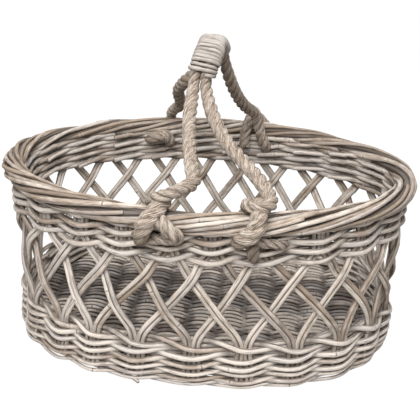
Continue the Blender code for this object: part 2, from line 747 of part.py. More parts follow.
# The handle sways about a line at the knots' tops, and the middle is over the origin
fixed = [obj for obj in [*parts.objects, *cutters.objects] if obj not in handle]
centre = middle_y([*parts.objects])
handle_pivot = add_pivot("handle_pivot", HANDLE_PIVOT_Z, handle, parts)
stand = add_pivot("basket_stand", 0, [*fixed, handle_pivot], parts)
stand.location.y = -centre
gap_mm = least_gap_to_itself(turns, WINDING_RADIUS) * 1000
print(f"grip_winding: least gap to itself {gap_mm:.2f} mm")
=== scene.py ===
import math
import random

import bmesh
import bpy
import numpy as np
from mathutils import Matrix, Vector, noise


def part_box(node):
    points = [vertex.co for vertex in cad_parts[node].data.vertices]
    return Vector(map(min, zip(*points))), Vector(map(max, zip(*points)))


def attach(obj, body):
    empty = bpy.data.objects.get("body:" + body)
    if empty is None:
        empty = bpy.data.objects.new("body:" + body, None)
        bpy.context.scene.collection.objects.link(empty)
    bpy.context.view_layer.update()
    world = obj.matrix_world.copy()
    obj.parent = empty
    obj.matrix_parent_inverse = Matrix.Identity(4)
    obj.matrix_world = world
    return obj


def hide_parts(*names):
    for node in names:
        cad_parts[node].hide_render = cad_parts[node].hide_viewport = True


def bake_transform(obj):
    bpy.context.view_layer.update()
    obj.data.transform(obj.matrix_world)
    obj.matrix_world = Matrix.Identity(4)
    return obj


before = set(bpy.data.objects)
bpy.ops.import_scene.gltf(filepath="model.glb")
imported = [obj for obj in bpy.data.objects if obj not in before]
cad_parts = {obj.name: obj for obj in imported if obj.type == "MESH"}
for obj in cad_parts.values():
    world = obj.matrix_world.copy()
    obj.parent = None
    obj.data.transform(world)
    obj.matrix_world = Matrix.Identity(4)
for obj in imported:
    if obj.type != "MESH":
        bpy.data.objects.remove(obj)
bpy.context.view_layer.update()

# Sizes of the basket, in metres
LENGTH = 0.500
WIDTH = 0.356
HEIGHT = 0.220
WALL_TAPER_X = 0.006
WALL_TAPER_Y = 0.002
WALL_SAMPLES = 1440
TOP_POWER = 2.0
BASE_POWER = 2.4
END_REACHES = ((0.0030, 0.0055), (0.0085, 0.0005))
FOOT_FLARE = 0.0092
FOOT_HEIGHT = 0.032
FIT_CLEARANCE = 0.0003
GROUP_COUNT = 23
OUTWARD_STEP = 0.01
LAST_SEED = 999

# Border: round canes that roll over the rim from outside to inside, at angles from level
# outward; every other one is sunk, and every seventh ends early
BORDER_RADIUS = 0.0130
BORDER_OUTSET = 0.0030
BORDER_CANE_RADIUS = 0.0026
BORDER_CANES_PER_GROUP = 2
BORDER_CANE_GROUPS = 5.6
BORDER_CANE_STEPS = 12
BORDER_THICKNESSES = (0.88, 1.16)
BORDER_START_SPREAD = 0.18
BORDER_GROUPS_SPREAD = (-0.5, 0.6)
BORDER_START_ANGLE = math.radians(-108)
BORDER_END_ANGLE = math.radians(212)
BORDER_CANE_SINK = 0.0022
BORDER_SINK_SHARES = (0.3, 1.0)
BORDER_SHORT_CANE_STEP = 7
BORDER_FIRST_SHORT_CANE = 3
BORDER_SHORT_ANGLE = math.radians(62)
BORDER_SHORT_SHARES = (0.3, 1.2)
BORDER_WAVER = 0.0006
BORDER_TURN_WANDER = 0.15
BORDER_END_DIP = 0.18
BORDER_END_GROUPS = 0.6
BORDER_HIDDEN_GROUPS = 0.5
BORDER_SINK_SHADE = 0.35
BORDER_CORE_SHADE = 0.9
BORDER_CORE_CANES = 6
BORDER_CORE_TURNS = 4
BORDER_CORE_SHARE = 0.46
BORDER_CORE_RADIUS = 0.0036

# Cane ends: the worn edge's length and width in radii, and the longest share of a step
END_EDGE_LENGTH = 0.35
END_EDGE_LIMIT = 0.4
END_WEAR = 0.72

# Stakes: pairs of canes that lean both ways and cross twice between the bands
CANE_RADIUS = 0.0025
MEAN_CANE_RADIUS = 0.0028
STAKE_CANE_RADIUS = 0.00275
STAKE_SPREAD = 0.0008
STAKE_THICKNESSES = (0.92, 1.06)
STAKE_BACK_SWELL = 0.06
STAKE_CLOSENESS = 0.97
STAKE_WAVER = 0.0003
STAKE_OUTER_TURN = 0.25
STAKE_POCKET_SHADE = 0.3
STAKE_POCKET_REACH = 0.010
STAKE_STEPS = 8
STAKE_FLOOR = 0.0070
STAKE_BEND_RISE = 0.0025
LEAN_GROUPS = 1.5
CROSSING_GROUPS = (0.5, 1.0)
CROSSING_LIFT = 0.0034
CROSSING_HEIGHT_SHARES = (0.37, 0.77)
ENTRY_SPREAD = 0.0143
ENTRY_DROP = 0.0030
ENTRY_DEPTH = 0.0120
LOWER_SHIFTS = {-5: 0, -4: -0.02, -3: 0.06, -2: -0.09, -1: -0.09, 0: 0.00, 1: 0.00, 2: 0.08,
                3: 0.14, 4: 0.10, 5: 0}
UPPER_SHIFTS = {-4.5: 0, -3.5: 0.13, -2.5: 0.08, -1.5: 0.01, -0.5: -0.04, 0.5: -0.09,
                1.5: -0.11, 2.5: 0.03, 3.5: 0}

# Woven bands: heights of the rows, and the way of one weaver past three groups in half steps
# from outside its own group: depth and height, as shares of the depth and of the row's rise
WEAVER_LAP = 3
WEAVER_RADIUS = 0.0031
WEAVER_DEPTH = 0.0061
WEAVER_RISE_SHARE = 0.30
WEAVER_RADIUS_SHARE = 0.285
WEAVER_THICKNESSES = (0.90, 1.12)
WEAVER_LEAN = 0.10
WEAVER_UNEVENNESS = 0.35
WEAVER_WAVER = 0.0006
WEAVER_TAIL_DEPTH = 1.6
# Painted shade where a weaver dips behind a group and where it passes inside
WEAVER_DIP_PLACE = 0.66
WEAVER_DIP_WIDTH = 0.14
WEAVER_DIP_SHADE = 0.75
WEAVER_INNER_PLACE = 0.8
WEAVER_INNER_SHADE = 0.12
FOOT_ROW_HEIGHT = 0.010
FOOT_ROW_TUCK = 0.0008
LOWER_BAND_HEIGHT = 0.0580
LOWER_ROWS = (0.0058, 0.0132, 0.0215, 0.0308, 0.0410, 0.0522)
LOWER_DEPTHS = (0.50, 0.66, 0.85, 1.0, 1.0, 1.0)
UPPER_ROWS = (0.1652, 0.1768, 0.1882, 0.1990)
ROW_WAY = ((1.0, -1.0), (-0.1, 0.55), (-0.85, 0.9), (-1.15, 0.35), (-1.2, -0.45), (0.1, -0.75))
TOP_ROW_WAY = ((1.0, -0.55), (-0.1, -0.85), (-0.85, -0.9), (-1.15, 0.0), (-1.1, 1.1),
               (0.0, 1.55))
WEAVER_STEPS_PER_GROUP = 12
FILLER_RADIUS = 0.0027
FILLER_INSET = 0.0024
FILLER_WAVER = 0.0008
FILLER_SHADE = 0.7
JOIN_OVERLAP = 0.42
JOIN_LAPS = (2, 4)
LOOSE_END_RADIUS = 0.0019
LOOSE_END_TONE = 0.31
LOOSE_END_STEP = 0.002
LOOSE_END = ((-0.086, -0.150, 0.0065), (-0.0670, -0.1640, 0.004), (-0.0590, -0.1700, 0.003))

# Base mat: rows of two weavers over triple sticks, and limits of its paler strips along Y
BASE_PLANE = 0.0145
BASE_STICK_SPACING = 0.036
BASE_STICK_RADIUS = 0.0021
BASE_STICK_GAP = 2.1
BASE_STICK_STEPS = 24
BASE_ROW_PITCH = 0.0086
BASE_WEAVER_RADIUS = 0.0027
BASE_THICKNESSES = (0.85, 1.08)
BASE_WEAVER_DEPTH = 0.0039
BASE_SWAY_SHARE = 0.09
BASE_SWAY_LAG = 0.15
BASE_APART_SHARE = 0.25
BASE_WEAVER_STEP = 0.005
BASE_WAVER = 0.0013
BASE_SHARED_WAVER = 0.0016
BASE_SHADE = 0.34
BASE_DIP_SHADE = 0.80
BASE_PALE_LIFT = 0.9
BASE_LAST_SHARE = 0.999
BASE_PALE_EDGE = 0.012
BASE_BUNDLE_PALENESS = 0.55
BASE_BUNDLE_SWING = 0.45
BASE_BUNDLE_UNEVENNESS = 0.5
BASE_PALE_BACK = 0.070
BASE_PALE_MIDDLE = (-0.074, -0.016)
BASE_PALE_FRONT = -0.088

# Rope and grip: the lay is one turn of the strands, hairs are drawn at a length of one
ROPE_RADIUS = 0.0072
ROPE_STEP = 0.0022
ROPE_LAY = 0.0345
FULL_ROPE_RADIUS = 0.0077
RELAX_STEP = 0.0010
RELAX_REACH = 6
GROOVE_DEPTHS = (0.68, 0.93)
HAIR_BEND = ((0, 0, -0.02), (0.02, 0.55, 0.10), (0.10, 0.95, 0.42))
HAIR_RADIUS = 0.036
HAIR_TAPER = 0.75
HAIR_LENGTHS = (0.35, 1.0)
KNOT_FULLNESS = 0.95
FRONT_LEFT_GROUP = -0.5
FRONT_RIGHT_GROUP = 1.5
BACK_GROUP = 1.0
HITCH_GRASP = 0.0010
GRIP_LENGTH = 0.088
GRIP_BEND_RADIUS = 0.0355
GRIP_TOP = 0.367
GRIP_SIDE = -0.006
GRIP_SETBACK = 0.015
GRIP_TILT = math.radians(11.6)
GRIP_YAW = math.radians(12.0)
GRIP_ROPE_RADIUS = 0.0068
# Painted shade on the back legs, which face away from the light
BACK_LEG_PAINTED_SHADE = 0.50
GRIP_NECK = 0.012
GRIP_POINTS = 9
GRIP_LEAN = 0.0050
GRIP_LEAN_START = 0.35
WINDING_TURNS = 20
WINDING_STEPS = 40
WINDING_RADIUS = 0.0017
WINDING_CLEARANCE = 0.0008
WINDING_SLOPE = 0.16
WINDING_WIDTH = 0.0042
WINDING_THICKNESS = 0.0028
WINDING_UNEVENNESS = 0.10
WINDING_LIFT = 0.0006
WINDING_STRAY = 0.0007
WINDING_TONE = 0.4
WINDING_SHARP_ANGLE = math.radians(50)
WINDING_OUTLINE = ((-0.5, -0.5), (-0.5, -0.05), (-0.36, 0.32), (0, 0.52), (0.36, 0.32),
                   (0.5, -0.05), (0.5, -0.5), (0, -0.55))

# Worked out from the sizes and the frame
BORDER_CENTRE_Z = HEIGHT - BORDER_RADIUS
UPPER_BAND_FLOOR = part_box("upper_band")[0].z
UPPER_BAND_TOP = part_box("upper_band")[1].z
LATTICE_HEIGHT = UPPER_BAND_FLOOR - LOWER_BAND_HEIGHT
PAIR_OFFSET = 2 * CANE_RADIUS + FIT_CLEARANCE / 2
HITCH_RADIUS = BORDER_RADIUS + ROPE_RADIUS + HITCH_GRASP
GRIP_ROPE_OFFSET = GRIP_ROPE_RADIUS + FIT_CLEARANCE / 2
GRIP_SWEEP = GRIP_LENGTH / GRIP_BEND_RADIUS
RING_STEPS = 6 * GROUP_COUNT
MIDDLE = Vector((0, sum(corner.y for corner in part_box("border")) / 2, 0))


def clamped(value):
    """The value, kept between 0 and 1."""
    return min(max(value, 0.0), 1.0)


# The wall

def wall_halves(z):
    """Half length, half width and roundness of the wall's middle surface at a height."""
    share = clamped(z / HEIGHT)
    top_x = LENGTH / 2 - BORDER_RADIUS - BORDER_OUTSET
    top_y = WIDTH / 2 - BORDER_RADIUS - BORDER_OUTSET
    half_x = top_x - WALL_TAPER_X * (1 - share)
    half_y = top_y - WALL_TAPER_Y * (1 - share)
    return half_x, half_y, BASE_POWER + (TOP_POWER - BASE_POWER) * share


def oval_point(half_x, half_y, power, angle):
    """A point of the oval and the outward direction there."""
    c, s = math.cos(angle), math.sin(angle)
    x = half_x * math.copysign(abs(c) ** (2 / power), c)
    y = half_y * math.copysign(abs(s) ** (2 / power), s)
    slope_x = math.copysign(abs(c) ** (2 - 2 / power), c) / half_x
    slope_y = math.copysign(abs(s) ** (2 - 2 / power), s) / half_y
    return Vector((x, y, 0)), Vector((slope_x, slope_y, 0)).normalized()


def perimeter_table(z):
    """Angles from +X through +Y, the share of the way round at each, and the whole way."""
    angles = np.linspace(0, 2 * math.pi, WALL_SAMPLES + 1)
    halves = wall_halves(z)
    points = np.array([oval_point(*halves, angle)[0][:2] for angle in angles])
    steps = np.hypot(*np.diff(points, axis=0).T)
    length = steps.sum()
    return angles, np.concatenate(([0.0], np.cumsum(steps))) / length, length


WALL_TABLE = perimeter_table(LOWER_BAND_HEIGHT + LATTICE_HEIGHT / 2)
SPACING = WALL_TABLE[2] / GROUP_COUNT


def stretched(x, z):
    """A place along the length, drawn out a little towards the ends of the oval."""
    low, high = (reaches[x > 0] for reaches in END_REACHES)
    reach = low + (high - low) * clamped(z / HEIGHT)
    return x + math.copysign(reach * abs(x / (LENGTH / 2)) ** 3, x)


def foot_flare(x, z, outward):
    """How far the foot spreads: most at the left and the front, not at the back."""
    low = max(0.0, 1 - z / FOOT_HEIGHT)
    leftward = clamped(0.5 - x / LENGTH)
    return FOOT_FLARE * low * leftward * (1 - max(outward.y, 0.0))


def wall_frame(group, z, outset=0.0):
    """Origin, rightward direction (seen from outside) and outward direction on the wall.

    Groups are counted to the right from the middle of the front.
    """
    share = (0.75 + group / GROUP_COUNT) % 1.0
    angle = float(np.interp(share, WALL_TABLE[1], WALL_TABLE[0]))
    origin, outward = oval_point(*wall_halves(z), angle)
    origin = origin + outward * (outset + foot_flare(origin.x, z, outward)) + MIDDLE
    origin.x, origin.z = stretched(origin.x, z), z
    return origin, Vector((0, 0, 1)).cross(outward), outward


def group_point(group, along, z):
    """A place on the flat plane of a group, where its stakes stand."""
    origin, rightward, _ = wall_frame(group, z)
    return origin + rightward * along


def settled(group, shifts):
    """A group's place with the small shift that hand work gave it."""
    wrapped = (group + GROUP_COUNT / 2) % GROUP_COUNT - GROUP_COUNT / 2
    return group + float(np.interp(wrapped, list(shifts), list(shifts.values())))


def wander(place, seed):
    """A smooth value of about -1 to 1 that drifts with the place."""
    return 2 * noise.noise(Vector((place, seed * 7.31, seed * 1.77)))


# Strands: a path of points with a thickness at each and a shade for the whole length

def smooth_place(a, b, c, d, t):
    """A place on the way from b to c, smooth with a before them and d after them."""
    return 0.5 * (2 * b + (c - a) * t + (2 * a - 5 * b + 4 * c - d) * t**2
                  + (3 * b - a - 3 * c + d) * t**3)


def with_run(table):
    """A table of points, and how far along the way each of them lies."""
    lengths = np.linalg.norm(np.diff(table[:, :3], axis=0), axis=1)
    return table, np.concatenate(([0.0], np.cumsum(lengths)))


def smooth_curve(points, steps=12):
    """Closely spaced points on a smooth curve through the given ones, and their runs."""
    controls = [Vector(point) for point in points]
    controls = [2 * controls[0] - controls[1], *controls, 2 * controls[-1] - controls[-2]]
    dense = []
    for four in zip(controls, controls[1:], controls[2:], controls[3:]):
        dense += [smooth_place(*four, k / steps) for k in range(steps)]
    dense.append(controls[-2])
    return with_run(np.array(dense))


def even_table(curve, step):
    """A table of evenly spaced points along the whole curve."""
    table, run = curve
    places = np.linspace(0, run[-1], max(2, round(run[-1] / step) + 1))
    return np.stack([np.interp(places, run, column) for column in table.T], axis=1)


def even_points(curve, step):
    return [Vector(point) for point in even_table(curve, step)]


def strand(points, radius, tone, blunt=True, hidden=None, facing=None):
    """One cane: points, radii, tone, painted shade where each place is tucked away, and where it
    faces.

    A place with less than nothing for the painted shade is paler instead. Blunt ends are narrowed
    at their edge.
    """
    radii = [radius] * len(points) if isinstance(radius, float) else list(radius)
    hidden = [0.0] * len(points) if hidden is None else list(hidden)
    facing = [Vector((0, 0, 1))] * len(points) if facing is None else list(facing)
    if blunt and len(points) > 3:
        inner = []
        for end, second in ((0, 1), (-1, -2)):
            inward = points[second] - points[end]
            edge = min(radii[end] * END_EDGE_LENGTH, inward.length * END_EDGE_LIMIT)
            inner.append(points[end] + inward.normalized() * edge)
        points = [points[0], inner[0], *points[1:-1], inner[1], points[-1]]
        radii = [radii[0] * END_WEAR, *radii, radii[-1] * END_WEAR]
        hidden = [hidden[0], *hidden, hidden[-1]]
        facing = [facing[0], *facing, facing[-1]]
    return {"points": points, "radii": radii, "tone": tone, "hidden": hidden,
            "facing": facing}


def note_points(mesh, label, values):
    """Keeps one number, or one vector, for every point of a mesh."""
    if isinstance(values[0], (int, float)):
        mesh.attributes.new(label, "FLOAT", "POINT").data.foreach_set("value", values)
    else:
        mesh.attributes.new(label, "FLOAT_VECTOR", "POINT").data.foreach_set(
            "vector", [value for vector in values for value in vector])


def strand_wires(name, strands):
    """Edges along every strand, with its thickness, run, tone, painted shade and facing on the
    points.
    """
    points, edges, radii, runs, tones, hidden, facing = [], [], [], [], [], [], []
    for one in strands:
        first = len(points)
        points += one["points"]
        edges += [(i, i + 1) for i in range(first, len(points) - 1)]
        steps = [(b - a).length for a, b in zip(one["points"], one["points"][1:])]
        runs += list(np.concatenate(([0.0], np.cumsum(steps))))
        radii += one["radii"]
        tones += [one["tone"]] * len(one["points"])
        hidden += one["hidden"]
        facing += one["facing"]
    mesh = bpy.data.meshes.new(name)
    mesh.from_pydata(points, edges, [])
    for label, values in (("thickness", radii), ("run", runs), ("tone", tones),
                          ("hidden", hidden), ("facing", facing)):
        note_points(mesh, label, values)
    return mesh


def add_object(name, data):
    made = bpy.data.objects.new(name, data)
    bpy.context.scene.collection.objects.link(made)
    return made


# Building node trees

def add_node(tree, kind, sockets=None, **settings):
    """A node with its settings. Sockets take a value or another node's output."""
    made = tree.nodes.new(kind)
    for name, value in settings.items():
        setattr(made, name, value)
    for key, value in (sockets or {}).items():
        if isinstance(value, bpy.types.NodeSocket):
            tree.links.new(value, made.inputs[key])
        else:
            made.inputs[key].default_value = value
    return made


def calc(tree, operation, *values):
    """The result of one Math node."""
    return add_node(tree, "ShaderNodeMath", dict(enumerate(values)), operation=operation).outputs[0]


def plus(tree, first, second):
    return calc(tree, "ADD", first, second)


def less(tree, first, second):
    return calc(tree, "SUBTRACT", first, second)


def times(tree, first, second):
    return calc(tree, "MULTIPLY", first, second)


def over(tree, first, second):
    return calc(tree, "DIVIDE", first, second)


def calc_vector(tree, operation, *values, output="Vector"):
    """The result of one Vector Math node."""
    return add_node(tree, "ShaderNodeVectorMath", dict(enumerate(values)),
                    operation=operation).outputs[output]


def vector_of(tree, x=0.0, y=0.0, z=0.0):
    return add_node(tree, "ShaderNodeCombineXYZ", {"X": x, "Y": y, "Z": z}).outputs[0]


def noise_at(tree, place, scale, detail, roughness=0.5):
    """A cloudy value of about 0 to 1 at a place."""
    return add_node(tree, "ShaderNodeTexNoise", {
        "Vector": place, "Scale": scale, "Detail": detail,
        "Roughness": roughness}).outputs["Fac"]


def between(tree, value, low, high, interpolation="SMOOTHSTEP"):
    """How far a value lies between two limits, from 0 to 1."""
    return add_node(tree, "ShaderNodeMapRange",
                    {"Value": value, "From Min": low, "From Max": high},
                    interpolation_type=interpolation).outputs["Result"]


def scaled(tree, vector, factor):
    return add_node(tree, "ShaderNodeVectorMath", {0: vector, "Scale": factor},
                    operation="SCALE").outputs[0]


SOCKET_KINDS = {int: "NodeSocketInt", float: "NodeSocketFloat", tuple: "NodeSocketColor"}
GEOMETRY, MATERIAL = "NodeSocketGeometry", "NodeSocketMaterial"
SURFACE_RESULTS = {"Color": "NodeSocketColor", "Roughness": "NodeSocketFloat",
                   "Height": "NodeSocketFloat"}


def tree_sockets(tree, inputs, outputs):
    """Named sockets of a tree. An input is given by its value, or else by its kind."""
    for name, given in inputs.items():
        kind = SOCKET_KINDS.get(type(given), given)
        socket = tree.interface.new_socket(name, in_out="INPUT", socket_type=kind)
        if kind != given:
            socket.default_value = given
    for name, kind in outputs.items():
        tree.interface.new_socket(name, in_out="OUTPUT", socket_type=kind)
    return tree.nodes.new("NodeGroupInput").outputs, tree.nodes.new("NodeGroupOutput").inputs


def named(tree, label, kind="FLOAT"):
    """A named attribute of the geometry."""
    return add_node(tree, "GeometryNodeInputNamedAttribute", {"Name": label},
                    data_type=kind).outputs["Attribute"]


def store(tree, geometry, label, value, kind="FLOAT"):
    return add_node(tree, "GeometryNodeStoreNamedAttribute",
                    {"Geometry": geometry, "Name": label, "Value": value},
                    data_type=kind, domain="POINT").outputs["Geometry"]


def sweep_and_finish(tree, curve, width, sides, material):
    """Sweeps a ring along curves, closes it and gives it its finish."""
    ring = add_node(tree, "GeometryNodeCurvePrimitiveCircle", {"Resolution": sides, "Radius": 1.0})
    position = add_node(tree, "GeometryNodeInputPosition").outputs[0]
    ring = store(tree, ring.outputs["Curve"], "around", position, "FLOAT_VECTOR")
    tube = add_node(tree, "GeometryNodeCurveToMesh",
                    {"Curve": curve, "Profile Curve": ring, "Scale": width, "Fill Caps": True})
    real = add_node(tree, "GeometryNodeRealizeInstances", {"Geometry": tube.outputs[0]})
    smooth = add_node(tree, "GeometryNodeSetShadeSmooth", {"Geometry": real.outputs[0]})
    return add_node(tree, "GeometryNodeSetMaterial",
                    {"Geometry": smooth.outputs[0], "Material": material}).outputs[0]


def joint_distance(tree, run, tone, spacing):
    """Distance along a cane to its nearest joint; each cane has its joints elsewhere."""
    lap = calc(tree, "FRACT", plus(tree, over(tree, run, spacing), times(tree, tone, 5.3)))
    return times(tree, calc(tree, "ABSOLUTE", less(tree, lap, 0.5)), spacing)


def cane_tree():
    """Sweeps round canes along wires; they swell at their joints and drift in thickness."""
    tree = bpy.data.node_groups.new("cane_sweep", "GeometryNodeTree")
    given, result = tree_sockets(tree, {
        "Geometry": GEOMETRY, "Sides": 10, "Drift Share": 0.10, "Drift Length": 0.045,
        "Joint Spacing": 0.31, "Joint Length": 0.006, "Joint Swell": 0.14, "Material": MATERIAL,
    }, {"Geometry": GEOMETRY})
    run, tone, width = named(tree, "run"), named(tree, "tone"), named(tree, "thickness")
    place = vector_of(tree, over(tree, run, given["Drift Length"]), times(tree, tone, 97.0))
    drift = less(tree, noise_at(tree, place, scale=1.0, detail=1.0), 0.5)
    drift = times(tree, drift, times(tree, given["Drift Share"], 2.0))
    away = joint_distance(tree, run, tone, given["Joint Spacing"])
    swell = less(tree, 1.0, between(tree, away, 0.0, given["Joint Length"]))
    swell = times(tree, swell, given["Joint Swell"])
    width = times(tree, width, plus(tree, plus(tree, drift, swell), 1.0))
    curve = add_node(tree, "GeometryNodeMeshToCurve", {"Mesh": given["Geometry"]}).outputs[0]
    done = sweep_and_finish(tree, curve, width, given["Sides"], given["Material"])
    # How far the surface turns aside from where the cane faces, for painted shade on its flanks
    normal = add_node(tree, "GeometryNodeInputNormal").outputs["Normal"]
    front = calc_vector(tree, "DOT_PRODUCT", normal, named(tree, "facing", "FLOAT_VECTOR"),
                        output="Value")
    done = store(tree, done, "flank", less(tree, 1.0, calc(tree, "ABSOLUTE", front)))
    tree.links.new(done, result["Geometry"])
    return tree


def fibre_hairs(tree, surface, density, length):
    """Short bent hairs that stand off a surface here and there."""
    spots = add_node(tree, "GeometryNodeDistributePointsOnFaces",
                     {"Mesh": surface, "Density": density, "Seed": 4}).outputs
    start, middle, end = HAIR_BEND
    bend = add_node(tree, "GeometryNodeCurveQuadraticBezier", {
        "Resolution": 4, "Start": start, "Middle": middle, "End": end}).outputs[0]
    ring = add_node(tree, "GeometryNodeCurvePrimitiveCircle",
                    {"Resolution": 3, "Radius": HAIR_RADIUS}).outputs["Curve"]
    along = add_node(tree, "GeometryNodeSplineParameter").outputs["Factor"]
    taper = less(tree, 1.0, times(tree, along, HAIR_TAPER))
    hair = add_node(tree, "GeometryNodeCurveToMesh",
                    {"Curve": bend, "Profile Curve": ring, "Scale": taper}).outputs[0]
    spin = add_node(tree, "FunctionNodeRandomValue", {"Max": (0.0, 0.0, 6.28)},
                    data_type="FLOAT_VECTOR").outputs["Value"]
    spin = add_node(tree, "FunctionNodeEulerToRotation", {"Euler": spin}).outputs[0]
    turn = add_node(tree, "FunctionNodeRotateRotation", {
        "Rotation": spots["Rotation"], "Rotate By": spin}, rotation_space="LOCAL").outputs[0]
    least, most = HAIR_LENGTHS
    size = add_node(tree, "FunctionNodeRandomValue", {"Min": least, "Max": most, "Seed": 9},
                    data_type="FLOAT").outputs["Value"]
    hairs = add_node(tree, "GeometryNodeInstanceOnPoints", {
        "Points": spots["Points"], "Instance": hair, "Rotation": turn,
        "Scale": times(tree, size, length)}).outputs[0]
    return add_node(tree, "GeometryNodeRealizeInstances", {"Geometry": hairs}).outputs[0]


def rope_tree():
    """Lays strands round a wire in a steady twist."""
    tree = bpy.data.node_groups.new("laid_rope", "GeometryNodeTree")
    given, result = tree_sockets(tree, {
        "Geometry": GEOMETRY, "Strands": 3, "Lay Length": ROPE_LAY, "Strand Share": 0.58,
        "Offset Share": 0.47, "Sides": 20, "Hair Density": 20000.0, "Hair Length": 0.0042,
        "Material": MATERIAL,
    }, {"Geometry": GEOMETRY})
    curve = add_node(tree, "GeometryNodeMeshToCurve", {"Mesh": given["Geometry"]}).outputs[0]
    copies = add_node(tree, "GeometryNodeDuplicateElements",
                      {"Geometry": curve, "Amount": given["Strands"]}, domain="SPLINE")
    curve = store(tree, copies.outputs["Geometry"], "strand",
                  copies.outputs["Duplicate Index"])
    width = named(tree, "thickness")
    turns = plus(tree, over(tree, named(tree, "run"), given["Lay Length"]),
                 over(tree, named(tree, "strand"), given["Strands"]))
    angle = times(tree, turns, 2 * math.pi)
    normal = add_node(tree, "GeometryNodeInputNormal").outputs["Normal"]
    tangent = add_node(tree, "GeometryNodeInputTangent").outputs[0]
    side = calc_vector(tree, "CROSS_PRODUCT", tangent, normal)
    reach = times(tree, width, given["Offset Share"])
    offset = calc_vector(tree, "ADD",
                         scaled(tree, normal, times(tree, reach, calc(tree, "COSINE", angle))),
                         scaled(tree, side, times(tree, reach, calc(tree, "SINE", angle))))
    position = add_node(tree, "GeometryNodeInputPosition").outputs[0]
    curve = store(tree, curve, "axis", position, "FLOAT_VECTOR")
    curve = add_node(tree, "GeometryNodeSetPosition",
                     {"Geometry": curve, "Offset": offset}).outputs[0]
    rope_body = sweep_and_finish(tree, curve, times(tree, width, given["Strand Share"]),
                                 given["Sides"], given["Material"])
    reach = calc_vector(tree, "DISTANCE", position, named(tree, "axis", "FLOAT_VECTOR"),
                        output="Value")
    reach = over(tree, reach, named(tree, "thickness"))
    # How deep a place lies in the groove between strands, for painted shade there
    groove_shade = less(tree, 1.0, between(tree, reach, *GROOVE_DEPTHS, "LINEAR"))
    rope_body = store(tree, rope_body, "groove_shade", groove_shade)
    hairs = fibre_hairs(tree, rope_body, given["Hair Density"], given["Hair Length"])
    whole = add_node(tree, "GeometryNodeJoinGeometry")
    for part in (rope_body, hairs):
        tree.links.new(part, whole.inputs[0])
    done = add_node(tree, "GeometryNodeSetMaterial", {"Geometry": whole.outputs[0],
                                                      "Material": given["Material"]})
    tree.links.new(done.outputs[0], result["Geometry"])
    return tree


CANE_TREE = cane_tree()
ROPE_TREE = rope_tree()


def grown(name, mesh, tree, **inputs):
    """The plain mesh object that a tree makes from a mesh."""
    wires = add_object(name + "_wires", mesh)
    modifier = wires.modifiers.new("grow", "NODES")
    modifier.node_group = tree
    for item in tree.interface.items_tree:
        label = item.name.replace(" ", "_").lower()
        if item.in_out == "INPUT" and label in inputs:
            modifier[item.identifier] = inputs[label]
    graph = bpy.context.evaluated_depsgraph_get()
    made = bpy.data.meshes.new_from_object(
        wires.evaluated_get(graph), preserve_all_data_layers=True, depsgraph=graph)
    bpy.data.objects.remove(wires, do_unlink=True)
    made.name = name
    return add_object(name, made)


def canes(name, strands, material, body, nodes, sides=10):
    """A piece made of canes, which stands for the solids that it replaces."""
    piece = grown(name, strand_wires(name, strands), CANE_TREE, sides=sides, material=material)
    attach(piece, body)
    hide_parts(*nodes)
    return piece


# Finishes

def attribute(tree, label, output="Fac"):
    return add_node(tree, "ShaderNodeAttribute", attribute_type="GEOMETRY",
                    attribute_name=label).outputs[output]


def blend_colours(tree, share, first, second):
    """The first colour, with a share of the second over it."""
    return add_node(tree, "ShaderNodeMix", {"Factor": share, 6: first, 7: second},
                    data_type="RGBA").outputs[2]


